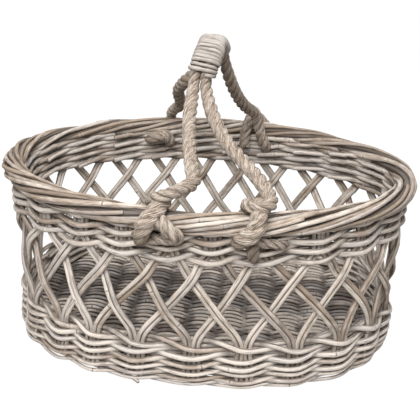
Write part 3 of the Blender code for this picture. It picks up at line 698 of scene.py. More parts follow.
def cane_surface_group():
    """Grey-washed cane: streaks along it, pale wash in patches, dark pores and knots, and painted
    shade on flanks and in hollows.
    """
    tree = bpy.data.node_groups.new("cane_surface", "ShaderNodeTree")
    given, result = tree_sockets(tree, {
        "Pale": (0.6, 0.5, 0.4, 1), "Warm": (0.4, 0.3, 0.2, 1), "Dark": (0.1, 0.1, 0.1, 1),
        "Cool": (0.52, 0.49, 0.48, 1), "Wash": 0.5, "Shelter": 0.88, "Flank Dirt": 0.82,
        "Patches": 0.8, "Joint Spacing": 0.31,
    }, SURFACE_RESULTS)
    run, tone = attribute(tree, "run"), attribute(tree, "tone")
    spot = add_node(tree, "ShaderNodeTexCoord").outputs["Object"]
    area = noise_at(tree, spot, scale=24.0, detail=1.0)
    around = scaled(tree, attribute(tree, "around", "Vector"), MEAN_CANE_RADIUS)
    shift = vector_of(tree, times(tree, tone, 3.7), times(tree, tone, 9.1))

    def grain(stretch, scale, detail):
        """A noise drawn out along the cane, and different on each one."""
        along = vector_of(tree, z=over(tree, run, stretch))
        place = calc_vector(tree, "ADD", calc_vector(tree, "ADD", around, along), shift)
        return noise_at(tree, place, scale, detail, roughness=0.6)

    streak = grain(stretch=14.0, scale=900.0, detail=3.0)
    patch = grain(stretch=2.5, scale=160.0, detail=3.0)
    broad = grain(stretch=3.0, scale=22.0, detail=1.0)
    speck = grain(stretch=1.6, scale=1500.0, detail=2.0)
    shade = calc(tree, "FRACT", times(tree, tone, 13.7))
    wash = given["Wash"]
    for value, amount in ((shade, 0.75), (area, given["Patches"]), (broad, 1.3), (patch, 1.5)):
        wash = plus(tree, wash, times(tree, less(tree, value, 0.5), amount))
    # Places with less than nothing for the painted shade get a paler wash
    hidden = attribute(tree, "hidden")
    wash = plus(tree, wash, calc(tree, "MAXIMUM", times(tree, hidden, -1.0), 0.0))
    colour = blend_colours(tree, between(tree, wash, 0.1, 0.9), given["Warm"], given["Pale"])
    cool = calc(tree, "FRACT", times(tree, tone, 7.9))
    for value, low, high, amount, tint in (
            (cool, 0.55, 0.95, 0.40, "Cool"), (streak, 0.50, 0.72, 0.70, "Dark"),
            (speck, 0.64, 0.74, 0.45, "Dark")):
        share = times(tree, between(tree, value, low, high), amount)
        colour = blend_colours(tree, share, colour, given[tint])
    away = joint_distance(tree, run, tone, given["Joint Spacing"])
    ring = times(tree, less(tree, 1.0, between(tree, away, 0.0002, 0.0013)),
                 between(tree, patch, 0.38, 0.60))
    collar = less(tree, 1.0, between(tree, away, 0.001, 0.005))
    # Painted shade on the flanks of each cane, where it turns away from the light, broken up by the
    # streaks
    flank_shade_mask = plus(tree, attribute(tree, "flank"), times(tree, less(tree, streak, 0.5), 0.5))
    flank_shade_mask = times(tree, between(tree, flank_shade_mask, 0.35, 0.95), given["Flank Dirt"])
    # Painted shade: darker where the cane is tucked away, behind others and where a shadow would
    # fall
    tucked = calc(tree, "MAXIMUM", times(tree, hidden, given["Shelter"]), 0.0)
    for share, tint in ((times(tree, collar, 0.35), "Pale"), (times(tree, ring, 0.70), "Dark"),
                        (flank_shade_mask, "Dark"), (tucked, "Dark")):
        colour = blend_colours(tree, share, colour, given[tint])
    tree.links.new(colour, result["Color"])
    tree.links.new(plus(tree, 0.52, times(tree, patch, 0.25)), result["Roughness"])
    height = plus(tree, times(tree, streak, -0.6), times(tree, speck, -0.3))
    height = plus(tree, height, times(tree, collar, 0.5))
    height = less(tree, height, times(tree, ring, 0.9))
    tree.links.new(height, result["Height"])
    return tree


def rope_surface_group():
    """Hard-laid plant fibre: yarns along the rope, dark hairs, darkened places, and painted shade
    in grooves and between yarns.
    """
    tree = bpy.data.node_groups.new("rope_surface", "ShaderNodeTree")
    given, result = tree_sockets(tree, {
        "Pale": (0.6, 0.5, 0.4, 1), "Warm": (0.4, 0.3, 0.2, 1), "Dark": (0.1, 0.1, 0.1, 1),
        "Worn": (0.2, 0.15, 0.11, 1), "Shelter": 1.0, "Yarns": 15.0, "Yarn Lay": 0.60,
    }, SURFACE_RESULTS)
    run = attribute(tree, "run")
    parts = add_node(tree, "ShaderNodeSeparateXYZ",
                     {0: attribute(tree, "around", "Vector")}).outputs
    turn = calc(tree, "ARCTAN2", parts[1], parts[0])
    laid = over(tree, run, given["Yarn Lay"])
    phase = less(tree, times(tree, turn, given["Yarns"]),
                 times(tree, laid, times(tree, given["Yarns"], 2 * math.pi)))
    yarn = plus(tree, times(tree, calc(tree, "SINE", phase), 0.5), 0.5)
    strand_shift = times(tree, attribute(tree, "strand"), 0.7)
    twist = less(tree, turn, times(tree, laid, 2 * math.pi))
    place = vector_of(tree, plus(tree, calc(tree, "COSINE", twist), strand_shift),
                      calc(tree, "SINE", twist), times(tree, run, 52.0))
    fibre = noise_at(tree, place, scale=5.5, detail=3.0, roughness=0.75)
    patch = noise_at(tree, place, scale=1.3, detail=2.0)
    colour = blend_colours(tree, between(tree, patch, 0.3, 0.7), given["Warm"], given["Pale"])
    # Painted shade in the creases between the yarns
    deep = less(tree, 1.0, between(tree, yarn, 0.0, 0.55))
    hairs, bright = between(tree, fibre, 0.50, 0.62), between(tree, fibre, 0.48, 0.36)
    for share, tint in ((times(tree, deep, 0.28), "Dark"), (times(tree, hairs, 0.74), "Dark"),
                        (times(tree, bright, 0.85), "Pale"),
                        (attribute(tree, "hidden"), "Worn"),
                        (times(tree, attribute(tree, "groove_shade"), given["Shelter"]), "Dark")):
        colour = blend_colours(tree, share, colour, given[tint])
    tree.links.new(colour, result["Color"])
    tree.links.new(plus(tree, 0.75, times(tree, fibre, 0.2)), result["Roughness"])
    height = less(tree, times(tree, yarn, 0.5), times(tree, fibre, 0.9))
    tree.links.new(height, result["Height"])
    return tree


CANE_SURFACE = cane_surface_group()
ROPE_SURFACE = rope_surface_group()
DRY_GLOSS = 0.3


def finish(name, surface, relief, **values):
    """A material whose colour, roughness and relief come from one surface group."""
    material = bpy.data.materials.new(name)
    material.use_nodes = True
    tree = material.node_tree
    shader = tree.nodes["Principled BSDF"]
    group = add_node(tree, "ShaderNodeGroup", node_tree=surface)
    for key, value in values.items():
        group.inputs[key.replace("_", " ").title()].default_value = value
    bump = add_node(tree, "ShaderNodeBump", {
        "Height": group.outputs["Height"], "Distance": relief, "Strength": 1.0})
    tree.links.new(group.outputs["Color"], shader.inputs["Base Color"])
    tree.links.new(group.outputs["Roughness"], shader.inputs["Roughness"])
    tree.links.new(bump.outputs["Normal"], shader.inputs["Normal"])
    shader.inputs["Specular IOR Level"].default_value = DRY_GLOSS
    return material


PALE_CANE = (0.765, 0.685, 0.61, 1)
WARM_CANE = (0.41, 0.325, 0.260, 1)
DARK_CANE = (0.045, 0.034, 0.027, 1)

BAND_CANE = finish("washed_band_cane", CANE_SURFACE, 0.0005, pale=PALE_CANE,
                   warm=WARM_CANE, dark=DARK_CANE, wash=0.70)
BORDER_CANE = finish("washed_border_cane", CANE_SURFACE, 0.0005, pale=(0.70, 0.62, 0.54, 1),
                     warm=(0.36, 0.28, 0.215, 1), dark=DARK_CANE, wash=0.30,
                     flank_dirt=0.95)
STAKE_CANE = finish("washed_stake_cane", CANE_SURFACE, 0.0005, pale=(0.73, 0.648, 0.568, 1),
                    warm=(0.37, 0.29, 0.225, 1), dark=DARK_CANE, wash=0.56)
BASE_CANE = finish("dark_base_cane", CANE_SURFACE, 0.0005, pale=(0.60, 0.525, 0.455, 1),
                   warm=(0.155, 0.125, 0.106, 1), dark=(0.035, 0.028, 0.025, 1), wash=0.17,
                   patches=2.2)
WINDING_CORE = finish("pale_winding_core", CANE_SURFACE, 0.0004, pale=(0.50, 0.46, 0.42, 1),
                      warm=(0.33, 0.29, 0.255, 1), dark=(0.10, 0.085, 0.07, 1), wash=0.50,
                      joint_spacing=10.0, flank_dirt=0.0)
ROPE_FIBRE = finish("plant_fibre_rope", ROPE_SURFACE, 0.0013, pale=(0.71, 0.615, 0.52, 1),
                    warm=(0.36, 0.275, 0.21, 1), dark=(0.085, 0.060, 0.045, 1))


# Woven bands

def along_way(way, place):
    """A smooth value of a closed way, at a place counted in its steps."""
    first = math.floor(place)
    four = (np.array(way[(first + k) % len(way)]) for k in (-1, 0, 1, 2))
    return smooth_place(*four, place - first)


def band_fillers(heights, picker):
    """Thin canes that lie between the rows, behind the stakes, painted in shade."""
    strands = []
    for low, high in zip(heights, heights[1:]):
        points, outs = [], []
        for i in range(RING_STEPS + 1):
            place = GROUP_COUNT * i / RING_STEPS
            z = (low + high) / 2 + FILLER_WAVER * wander(place % GROUP_COUNT, low * 900)
            point, _, out = wall_frame(place, z, -FILLER_INSET)
            points.append(point)
            outs.append(out)
        strands.append(strand(points, FILLER_RADIUS, picker.random(), blunt=False,
                              hidden=[FILLER_SHADE] * len(points), facing=outs))
    return strands


def band_weavers(heights, first_group, shifts, ways, depths, border_shadow, seed):
    """Rows of waling: three weavers take turns to pass outside one group and inside two."""
    picker = random.Random(seed)
    half_lap = WEAVER_LAP / 2
    strands = band_fillers(heights, picker)
    for row, (middle, way, deep) in enumerate(zip(heights, ways, depths)):
        pitch = min(abs(middle - other) for other in heights if other != middle)
        if row + 1 < len(heights):
            pitch = max(pitch, heights[row + 1] - middle)
        rise = WEAVER_RISE_SHARE * pitch
        thick = min(WEAVER_RADIUS, WEAVER_RADIUS_SHARE * pitch)
        tuck = FOOT_ROW_TUCK if middle < FOOT_ROW_HEIGHT else 0.0
        joins = [half_lap + WEAVER_LAP * picker.randint(0, 4)]
        while joins[-1] < joins[0] + WEAVER_LAP * GROUP_COUNT:
            joins.append(joins[-1] + WEAVER_LAP * picker.randint(*JOIN_LAPS))
        joins[-1] = joins[0] + WEAVER_LAP * GROUP_COUNT
        for start, end in zip(joins, joins[1:]):
            low, high = start - JOIN_OVERLAP, end + JOIN_OVERLAP
            count = round((high - low) * WEAVER_STEPS_PER_GROUP)
            radius = thick * picker.uniform(*WEAVER_THICKNESSES)
            lean = picker.uniform(-WEAVER_LEAN, WEAVER_LEAN)
            points, hidden, outs = [], [], []
            for k in range(count + 1):
                place = low + (high - low) * k / count
                past = (place + half_lap) % WEAVER_LAP - half_lap
                out, up = along_way(way, 2 * past)
                turn = round((place - past) / WEAVER_LAP)
                waver = WEAVER_WAVER * wander(place * 0.9, row + 3)
                tail = max(0.0, (place - high + 2 * JOIN_OVERLAP) / (2 * JOIN_OVERLAP))
                depth = WEAVER_DEPTH * deep * out + waver - tuck - tail * WEAVER_TAIL_DEPTH * radius
                uneven = WEAVER_UNEVENNESS * wander(turn * 1.37, row + seed)
                z = middle + rise * (up + uneven + lean)
                z = max(z + WEAVER_WAVER * wander(place * 0.7, row + 11), radius)
                group = settled(place + first_group, shifts)
                point, _, outward = wall_frame(group, z, depth)
                points.append(point)
                outs.append(outward)
                # Painted shade at the dips and inside passes, and a painted shadow of the border on
                # the upper band
                dip = math.exp(-((abs(past) - WEAVER_DIP_PLACE) / WEAVER_DIP_WIDTH) ** 2)
                inner = WEAVER_INNER_SHADE * (abs(past) > WEAVER_INNER_PLACE)
                hidden.append(WEAVER_DIP_SHADE * dip + inner + border_shadow)
            strands.append(strand(points, radius, picker.random(), hidden=hidden, facing=outs))
    return strands


def loose_end():
    """The end of one weaver, which has worked out under the front of the base."""
    points = [MIDDLE + Vector(place) for place in LOOSE_END]
    points = even_points(smooth_curve(points), LOOSE_END_STEP)
    return strand(points, LOOSE_END_RADIUS, LOOSE_END_TONE)


canes("lower_woven_band",
      band_weavers(LOWER_ROWS, 0.0, LOWER_SHIFTS, [ROW_WAY] * 5 + [TOP_ROW_WAY],
                   LOWER_DEPTHS, 0.0, 5) + [loose_end()],
      BAND_CANE, "basket", ["lower_band"])
# The upper band gets a painted shadow from the border above it
canes("upper_woven_band",
      band_weavers(UPPER_ROWS, 0.5, UPPER_SHIFTS, [ROW_WAY] * 4, [1.0] * 4, 0.16, 8),
      BAND_CANE, "basket", ["upper_band"])


# Stakes

def stake_path(group, lean):
    """Places of one leaning pair, bottom to top, and the direction out of the wall at each."""
    low, high = CROSSING_HEIGHT_SHARES
    lower_group = settled(group, LOWER_SHIFTS)
    upper_group = settled(group + LEAN_GROUPS * lean, UPPER_SHIFTS)
    lower_out = wall_frame(lower_group, 0)[2]
    upper_out = wall_frame(upper_group, 0)[2]
    apart = lean * (PAIR_OFFSET + STAKE_SPREAD)
    path = [(group_point(lower_group, apart, z), lower_out)
            for z in (STAKE_FLOOR, LOWER_BAND_HEIGHT / 2, LOWER_BAND_HEIGHT + STAKE_BEND_RISE)]
    near, far = CROSSING_GROUPS
    for share, groups, lift, shifts in ((low, near, -lean, LOWER_SHIFTS),
                                        (high, far, lean, UPPER_SHIFTS)):
        z = LOWER_BAND_HEIGHT + LATTICE_HEIGHT * share
        before, after = (settled(group + groups * lean + half, shifts) for half in (-0.5, 0.5))
        origin, _, out = wall_frame((before + after) / 2, z)
        path.append((origin + out * lift * CROSSING_LIFT, out))
    path += [(group_point(upper_group, -lean * along, z), upper_out)
             for along, z in ((ENTRY_SPREAD, UPPER_BAND_FLOOR - ENTRY_DROP),
                              (PAIR_OFFSET, UPPER_BAND_FLOOR + ENTRY_DEPTH),
                              (PAIR_OFFSET, UPPER_BAND_TOP - WEAVER_RADIUS))]
    return path


def stake_pair(group, lean, picker):
    """Two canes side by side on their shared path."""
    path = stake_path(group, lean)
    places = smooth_curve([place for place, _ in path], STAKE_STEPS)[0]
    outs = smooth_curve([out for _, out in path], STAKE_STEPS)[0]
    places = [Vector(place) for place in places]
    strands = []
    for side in (-1, 1):
        radius = STAKE_CANE_RADIUS * picker.uniform(*STAKE_THICKNESSES)
        radius *= 1 + STAKE_BACK_SWELL * (places[0].y > 0)
        own_seed = picker.randint(0, LAST_SEED)
        points, hidden, facing = [], [], []
        for i, place in enumerate(places):
            along = places[min(i + 1, len(places) - 1)] - places[max(i - 1, 0)]
            outward = Vector(outs[i]).normalized()
            across = along.cross(outward).normalized()
            points.append(place + across * side * STAKE_CANE_RADIUS * STAKE_CLOSENESS
                          + outward * STAKE_WAVER * wander(i * 0.1, own_seed + 5))
            # Painted shade where the stake goes into a band, under the band's overhang
            inside = min(place.z - LOWER_BAND_HEIGHT, UPPER_BAND_FLOOR - place.z)
            hidden.append(STAKE_POCKET_SHADE * (1 - clamped(inside / STAKE_POCKET_REACH)))
            facing.append((outward + across * side * STAKE_OUTER_TURN).normalized())
        strands.append(strand(points, radius, picker.random(), hidden=hidden, facing=facing))
    return strands


stake_picker = random.Random(21)
for group in range(GROUP_COUNT):
    for lean, side in ((1, "right"), (-1, "left")):
        node = f"stakes_{side}_{group + 1:02d}"
        canes(node.replace("stakes", "stake_pair"), stake_pair(group, lean, stake_picker),
              STAKE_CANE, "basket", [node])


# Border

def border_point(group, angle, reach):
    """A place round the border's middle; 0 is outward, a quarter turn is up."""
    point = wall_frame(group, HEIGHT, BORDER_OUTSET + reach * math.cos(angle))[0]
    point.z = BORDER_CENTRE_Z + reach * math.sin(angle)
    return point


def border_canes(seed):
    """Canes that come up outside, roll slowly over the rim and end on the inside.

    A few are short and end on the outside instead. They lie on a core of plain rings.
    """
    picker = random.Random(seed)
    whole_turn = BORDER_END_ANGLE - BORDER_START_ANGLE
    strands = []
    for k in range(BORDER_CANES_PER_GROUP * GROUP_COUNT):
        spread = picker.uniform(-BORDER_START_SPREAD, BORDER_START_SPREAD)
        start = (k + spread) / BORDER_CANES_PER_GROUP
        groups = BORDER_CANE_GROUPS + picker.uniform(*BORDER_GROUPS_SPREAD)
        radius = BORDER_CANE_RADIUS * picker.uniform(*BORDER_THICKNESSES)
        sunk = BORDER_CANE_SINK * (k % 2) * picker.uniform(*BORDER_SINK_SHARES)
        reach = BORDER_RADIUS - radius
        own_seed = picker.randint(0, LAST_SEED)
        steps = round(groups * BORDER_CANE_STEPS)
        reached = 1.0
        if k % BORDER_SHORT_CANE_STEP == BORDER_FIRST_SHORT_CANE:
            last_angle = BORDER_SHORT_ANGLE * picker.uniform(*BORDER_SHORT_SHARES)
            reached = (last_angle - BORDER_START_ANGLE) / whole_turn
            sunk = 0.0
        points, hidden, facing = [], [], []
        for i in range(round(steps * reached) + 1):
            share = i / steps
            place = start + groups * share
            turn = BORDER_START_ANGLE + whole_turn * share
            turn += BORDER_TURN_WANDER * wander(share * 4.0, own_seed)
            ends = min(share, 1 - share) * groups
            rise = 1 - BORDER_END_DIP * (1 - min(ends / BORDER_END_GROUPS, 1.0))
            lump = BORDER_WAVER * wander(place, 17)
            waver = BORDER_WAVER * wander(share * 9, own_seed + 9)
            height = reach * rise + waver + lump - sunk
            points.append(border_point(place, turn, height))
            beyond = border_point(place, turn, height + OUTWARD_STEP)
            facing.append((beyond - points[-1]).normalized())
            # Painted shade on sunk canes and towards the ends, which tuck into the border
            shade = BORDER_SINK_SHADE * sunk / BORDER_CANE_SINK
            hidden.append(min(1.0, shade + max(0.0, 1 - ends / BORDER_HIDDEN_GROUPS)))
        strands.append(strand(points, radius, picker.random(), hidden=hidden, facing=facing))
    # The core rings, under the canes, are painted in deep shade
    for k in range(BORDER_CORE_CANES):
        points = [border_point(
            GROUP_COUNT * i / RING_STEPS,
            2 * math.pi * (k / BORDER_CORE_CANES + BORDER_CORE_TURNS * i / RING_STEPS),
            BORDER_RADIUS * BORDER_CORE_SHARE) for i in range(RING_STEPS + 1)]
        strands.append(strand(points, BORDER_CORE_RADIUS, picker.random(), blunt=False,
                              hidden=[BORDER_CORE_SHADE] * len(points)))
    return strands


canes("rolled_border", border_canes(13), BORDER_CANE, "basket", ["border"])


# Base mat

BASE_HALF_X, BASE_HALF_Y, BASE_ROUNDNESS = wall_halves(BASE_PLANE)


def base_reach(aside, half_aside, half_along):
    """How far the base reaches from its middle, at a distance to the side of it."""
    share = min(abs(aside) / half_aside, BASE_LAST_SHARE)
    round_share = (1 - share ** BASE_ROUNDNESS) ** (1 / BASE_ROUNDNESS)
    return half_along * round_share - CANE_RADIUS


def base_paleness(x, y):
    """How much paler the base is: at its front and back, and in bundles across its middle."""
    low, high = BASE_PALE_MIDDLE
    edges = (y - BASE_PALE_BACK, BASE_PALE_FRONT - y, min(y - low, high - y))
    back, front, middle = (clamped(0.5 + edge / BASE_PALE_EDGE) for edge in edges)
    swing = math.cos(2 * math.pi * x / BASE_STICK_SPACING)
    bundle = BASE_BUNDLE_PALENESS + BASE_BUNDLE_SWING * swing
    uneven = BASE_BUNDLE_UNEVENNESS * wander(x * 15 + y * 22, 77)
    return max(back, front, middle * clamped(bundle + uneven))


def base_weave(seed):
    """Rows of two weavers that rise and fall over triple sticks, in opposite steps."""
    picker = random.Random(seed)
    rows = int((BASE_HALF_Y - BASE_ROW_PITCH) / BASE_ROW_PITCH)
    strands = []
    for row in range(-rows, rows + 1):
        y = row * BASE_ROW_PITCH
        reach = base_reach(y, BASE_HALF_Y, BASE_HALF_X)
        count = max(4, round(2 * reach / BASE_WEAVER_STEP))
        for side in (0, 1):
            own_seed = picker.randint(0, LAST_SEED)
            points, hidden = [], []
            for i in range(count + 1):
                x = -reach + 2 * reach * i / count
                phase = x / BASE_STICK_SPACING + side
                swing = math.cos(math.pi * phase)
                z = BASE_PLANE + BASE_WEAVER_DEPTH * swing
                late = math.cos(math.pi * (phase + BASE_SWAY_LAG))
                sway = BASE_ROW_PITCH * (BASE_SWAY_SHARE * late + BASE_APART_SHARE * (2 * side - 1))
                drift = (BASE_WAVER * wander(x * 14, own_seed)
                         + BASE_SHARED_WAVER * wander(x * 6 + y * 9, 31))
                points.append(MIDDLE + Vector((stretched(x, z), y + sway + drift, z)))
                # Painted shadow of the walls, darkest at the back left, and painted shade where a
                # weaver dips under the sticks
                shade = BASE_SHADE * clamped(0.5 + y / BASE_HALF_Y - 0.5 * x / reach)
                pale = base_paleness(x, y)
                tucked = max(0.0, BASE_DIP_SHADE - abs(swing))
                hidden.append((1 - pale) * (tucked + shade) + pale * (tucked - BASE_PALE_LIFT))
            radius = BASE_WEAVER_RADIUS * picker.uniform(*BASE_THICKNESSES)
            strands.append(strand(points, radius, picker.random(), hidden=hidden))
    sticks = int(BASE_HALF_X / BASE_STICK_SPACING)
    for k in range(-sticks, sticks + 1):
        for side in (-1, 0, 1):
            x = k * BASE_STICK_SPACING + side * BASE_STICK_GAP * BASE_STICK_RADIUS
            reach = base_reach(x, BASE_HALF_X, BASE_HALF_Y)
            if reach < BASE_STICK_SPACING / 2:
                continue
            points = [MIDDLE + Vector((stretched(x, 0), reach * (2 * t / BASE_STICK_STEPS - 1),
                                       BASE_PLANE)) for t in range(BASE_STICK_STEPS + 1)]
            strands.append(strand(points, BASE_STICK_RADIUS, picker.random()))
    return strands


canes("woven_base", base_weave(3), BASE_CANE, "basket", ["base_mat"], sides=8)


# Ropes

# The group each knot sits at, and the way it counts along the rim
KNOTS = {
    "front_left": (FRONT_LEFT_GROUP, 1),
    "front_right": (FRONT_RIGHT_GROUP, 1),
    "back_left": (GROUP_COUNT / 2 + BACK_GROUP, -1),
    "back_right": (GROUP_COUNT / 2 - BACK_GROUP, 1),
}

# Each knot from the leg to its tail: places along the rim in rope radii, then outward and
# upward in hitch radii, with the border's middle at zero, and then how full the rope is
# there, where a pull has spread or squeezed it, and how much darker it is. The rope goes
# round the border and through the band below it.
KNOT_ROUTES = {
    "front_left": (
        (2.93, -1.04, 1.72, 1.00), (1.65, -0.42, 1.63, 0.97), (0.55, 0.19, 1.61, 0.92),
        (-0.61, 0.52, 1.57, 0.86), (-1.83, 0.42, 1.38, 0.83), (-2.91, 0.09, 1.13, 0.83),
        (-3.54, -0.42, 0.94, 0.86), (-4.12, -0.80, 0.57, 0.92), (-4.71, -0.99, 0.00, 0.97),
        (-5.09, -0.90, -0.57, 1.00), (-5.27, -0.47, -0.99, 1.00),
        (-4.91, 0.00, -0.99, 0.94, 0.8), (-4.39, 0.57, -0.97, 0.92, 0.8),
        (-4.31, 0.80, -0.73, 1.11, 0.7), (-4.18, 0.88, -0.46, 1.22, 0.5),
        (-3.64, 1.00, -0.01, 1.25, 0.2), (-3.03, 0.94, 0.34, 1.25), (-2.42, 0.78, 0.62, 1.22),
        (-1.91, 0.51, 0.85, 1.17), (-1.66, 0.12, 0.97, 1.08), (-1.27, 0.19, 0.94, 1.00),
        (-1.78, -0.42, 0.90, 0.97), (-2.38, -0.85, 0.52, 0.97), (-2.98, -0.99, -0.09, 0.97),
        (-3.43, -0.85, -0.61, 0.97), (-3.75, -0.47, -0.99, 0.94), (-3.89, -0.05, -1.08, 0.92),
        (-3.76, 0.19, -1.03, 0.83), (-2.78, 0.31, -0.93, 0.83), (-1.55, 0.35, -0.88, 0.83),
        (-0.10, 0.40, -0.82, 0.83), (0.99, 0.50, -0.72, 0.89, 0.4),
        (1.35, 0.66, -0.50, 0.94, 0.4), (0.75, 0.83, -0.37, 1.00), (-0.22, 0.87, -0.09, 1.00),
        (-1.07, 0.85, 0.19, 0.97), (-1.58, 0.80, 0.42, 0.89),
    ),
    "front_right": (
        (0.20, -0.66, 1.35, 1.00), (0.38, -0.19, 1.21, 0.94), (-0.09, 0.33, 1.12, 0.88),
        (-1.13, 0.57, 1.10, 0.83), (-2.27, 0.52, 1.10, 0.83), (-3.00, 0.24, 1.05, 0.83),
        (-2.96, -0.28, 0.99, 0.86), (-2.88, -0.75, 0.61, 0.92), (-2.97, -0.99, 0.09, 0.97),
        (-3.49, -0.90, -0.52, 1.00), (-3.76, -0.52, -0.94, 1.00),
        (-3.95, -0.09, -0.99, 0.94, 0.8), (-4.24, 0.33, -0.85, 0.97, 0.7),
        (-4.34, 0.61, -0.61, 0.97, 0.6), (-4.01, 0.80, -0.47, 1.08, 0.4),
        (-3.38, 0.90, -0.29, 1.17, 0.1), (-2.72, 0.96, -0.12, 1.22), (-2.16, 0.97, 0.16, 1.22),
        (-1.84, 0.89, 0.43, 1.22), (-1.69, 0.73, 0.67, 1.19), (-1.65, 0.49, 0.83, 1.11),
        (-1.60, 0.19, 0.92, 1.03), (-1.22, -0.38, 0.90, 0.97), (-0.57, -0.85, 0.52, 0.97),
        (0.32, -0.99, -0.14, 0.97), (1.33, -0.85, -0.61, 0.97), (2.11, -0.47, -0.99, 0.94),
        (2.43, -0.05, -1.13, 0.92), (2.59, 0.14, -1.16, 0.64), (1.93, 0.28, -1.02, 0.65),
        (0.83, 0.38, -0.91, 0.67), (-0.21, 0.42, -0.84, 0.68), (-1.23, 0.45, -0.77, 0.75),
        (-1.90, 0.45, -0.72, 0.86, 0.5), (-2.26, 0.47, -0.85, 0.94, 0.7),
        (-2.26, 0.50, -1.17, 0.94, 0.7), (-2.10, 0.50, -1.45, 0.86, 0.7),
        (-1.91, 0.45, -1.71, 0.67, 0.8),
    ),
    "back_left": (
        (-2.74, -0.33, 1.37, 0.94), (-3.05, 0.05, 1.06, 0.94), (-3.22, 0.61, 0.80, 0.94),
        (-3.32, 0.99, 0.14, 0.94), (-3.43, 0.80, -0.61, 0.91), (-3.63, 0.28, -0.99, 0.91),
        (-3.76, -0.28, -1.01, 0.91), (-3.88, -0.75, -0.80, 0.96), (-4.17, -1.01, -0.42, 1.01),
        (-5.01, -1.06, -0.24, 1.04), (-6.15, -1.06, -0.28, 1.04),
        (-7.27, -1.04, -0.42, 1.01, 0.4), (-8.26, -0.97, -0.57, 0.91, 0.7),
        (-8.33, -0.90, -0.66, 0.71, 0.7),
    ),
    "back_right": (
        (-0.83, -1.89, 1.80), (-1.18, -1.46, 1.13), (-1.53, -1.18, 0.52), (-2.08, -1.06, -0.05),
        (-2.64, -0.88, -0.57), (-2.85, -0.47, -0.94), (-2.85, 0.00, -1.06),
        (-2.85, 0.47, -0.94), (-2.57, 0.87, -0.57), (-1.88, 1.03, -0.09), (-0.83, 0.92, 0.46),
        (0.14, 0.50, 0.90), (0.69, -0.09, 1.03), (1.11, -0.66, 0.81), (1.46, -1.01, 0.26),
        (1.67, -1.02, -0.33), (1.53, -1.00, -0.90),
    ),
}

# Each leg between the grip and its knot: shares of the way in length, width and height.
LEG_ROUTES = {
    "front_left": (
        (0.00, 0.17, 0.20), (0.04, 0.34, 0.40), (0.22, 0.52, 0.58), (0.46, 0.70, 0.75),
        (0.76, 0.87, 0.90),
    ),
    "front_right": (
        (0.10, 0.17, 0.24), (0.24, 0.33, 0.45), (0.43, 0.51, 0.63), (0.68, 0.70, 0.79),
        (0.88, 0.87, 0.91),
    ),
    "back_left": (
        (0.52, 0.12, 0.29), (0.68, 0.26, 0.42), (0.80, 0.41, 0.55),
        (0.81, 0.56, 0.69), (0.80, 0.71, 0.82), (0.89, 0.85, 0.93),
    ),
    "back_right": (
        (0.13, 0.10, 0.22), (0.28, 0.26, 0.44), (0.48, 0.49, 0.67), (0.72, 0.74, 0.86),
    ),
}


def thick_point(place, radius, darkening=0.0):
    """A point of a rope's route, with its radius and how much darker it is."""
    return Vector((*place, radius, darkening))


def knot_route(name):
    """Points of one knot, from where the leg reaches it to its tail, each with its radius."""
    group, side = KNOTS[name]
    points = []
    for across, out, up, *more in KNOT_ROUTES[name]:
        place = group + side * across * ROPE_RADIUS / SPACING
        point = wall_frame(place, HEIGHT, BORDER_OUTSET + out * HITCH_RADIUS)[0]
        point.z = BORDER_CENTRE_Z + up * HITCH_RADIUS
        full = more[0] if more else KNOT_FULLNESS
        darkening = more[1] if len(more) > 1 else 0.0
        points.append(thick_point(point, FULL_ROPE_RADIUS * full, darkening))
    return points


def relaxed_curve(curve):
    """The curve with its sharp turns eased, as stiff rope lies."""
    even = even_table(curve, RELAX_STEP)
    ahead = 2 * even[0] - even[1:RELAX_REACH + 1][::-1]
    behind = 2 * even[-1] - even[-RELAX_REACH - 1:-1][::-1]
    padded = np.concatenate((ahead, even, behind))
    window = np.ones(2 * RELAX_REACH + 1) / (2 * RELAX_REACH + 1)
    eased = np.stack([np.convolve(column, window, "valid") for column in padded.T], axis=1)
    return with_run(eased)


def grip_frame(share):
    """Place on the grip's arc, and the directions along it, across it and out of its bend."""
    angle = (share - 0.5) * GRIP_SWEEP
    forward = Vector((-math.sin(GRIP_YAW), -math.cos(GRIP_YAW), 0))
    across = Vector((math.cos(GRIP_YAW), -math.sin(GRIP_YAW), 0))
    tilt = angle + GRIP_TILT
    centre_z = GRIP_TOP - WINDING_CLEARANCE - 2 * WINDING_RADIUS - GRIP_ROPE_RADIUS
    leaning = max(share - GRIP_LEAN_START, 0.0) / (1 - GRIP_LEAN_START)
    lean = GRIP_LEAN * math.sin(math.pi * leaning)
    centre = MIDDLE + Vector((GRIP_SIDE + lean, GRIP_SETBACK, centre_z - GRIP_BEND_RADIUS))
    spoke = forward * math.sin(tilt) + Vector((0, 0, math.cos(tilt)))
    along = forward * math.cos(tilt) - Vector((0, 0, math.sin(tilt)))
    return centre + spoke * GRIP_BEND_RADIUS, along, across, spoke


def leg_points(name, start, end):
    """Places of one leg between the grip and its knot."""
    reach = end - start
    # The back legs get painted shade
    darkening = BACK_LEG_PAINTED_SHADE * name.startswith("back")
    return [thick_point(start + Vector([share * way for share, way in zip(shares, reach)]),
                        FULL_ROPE_RADIUS, darkening) for shares in LEG_ROUTES[name]]


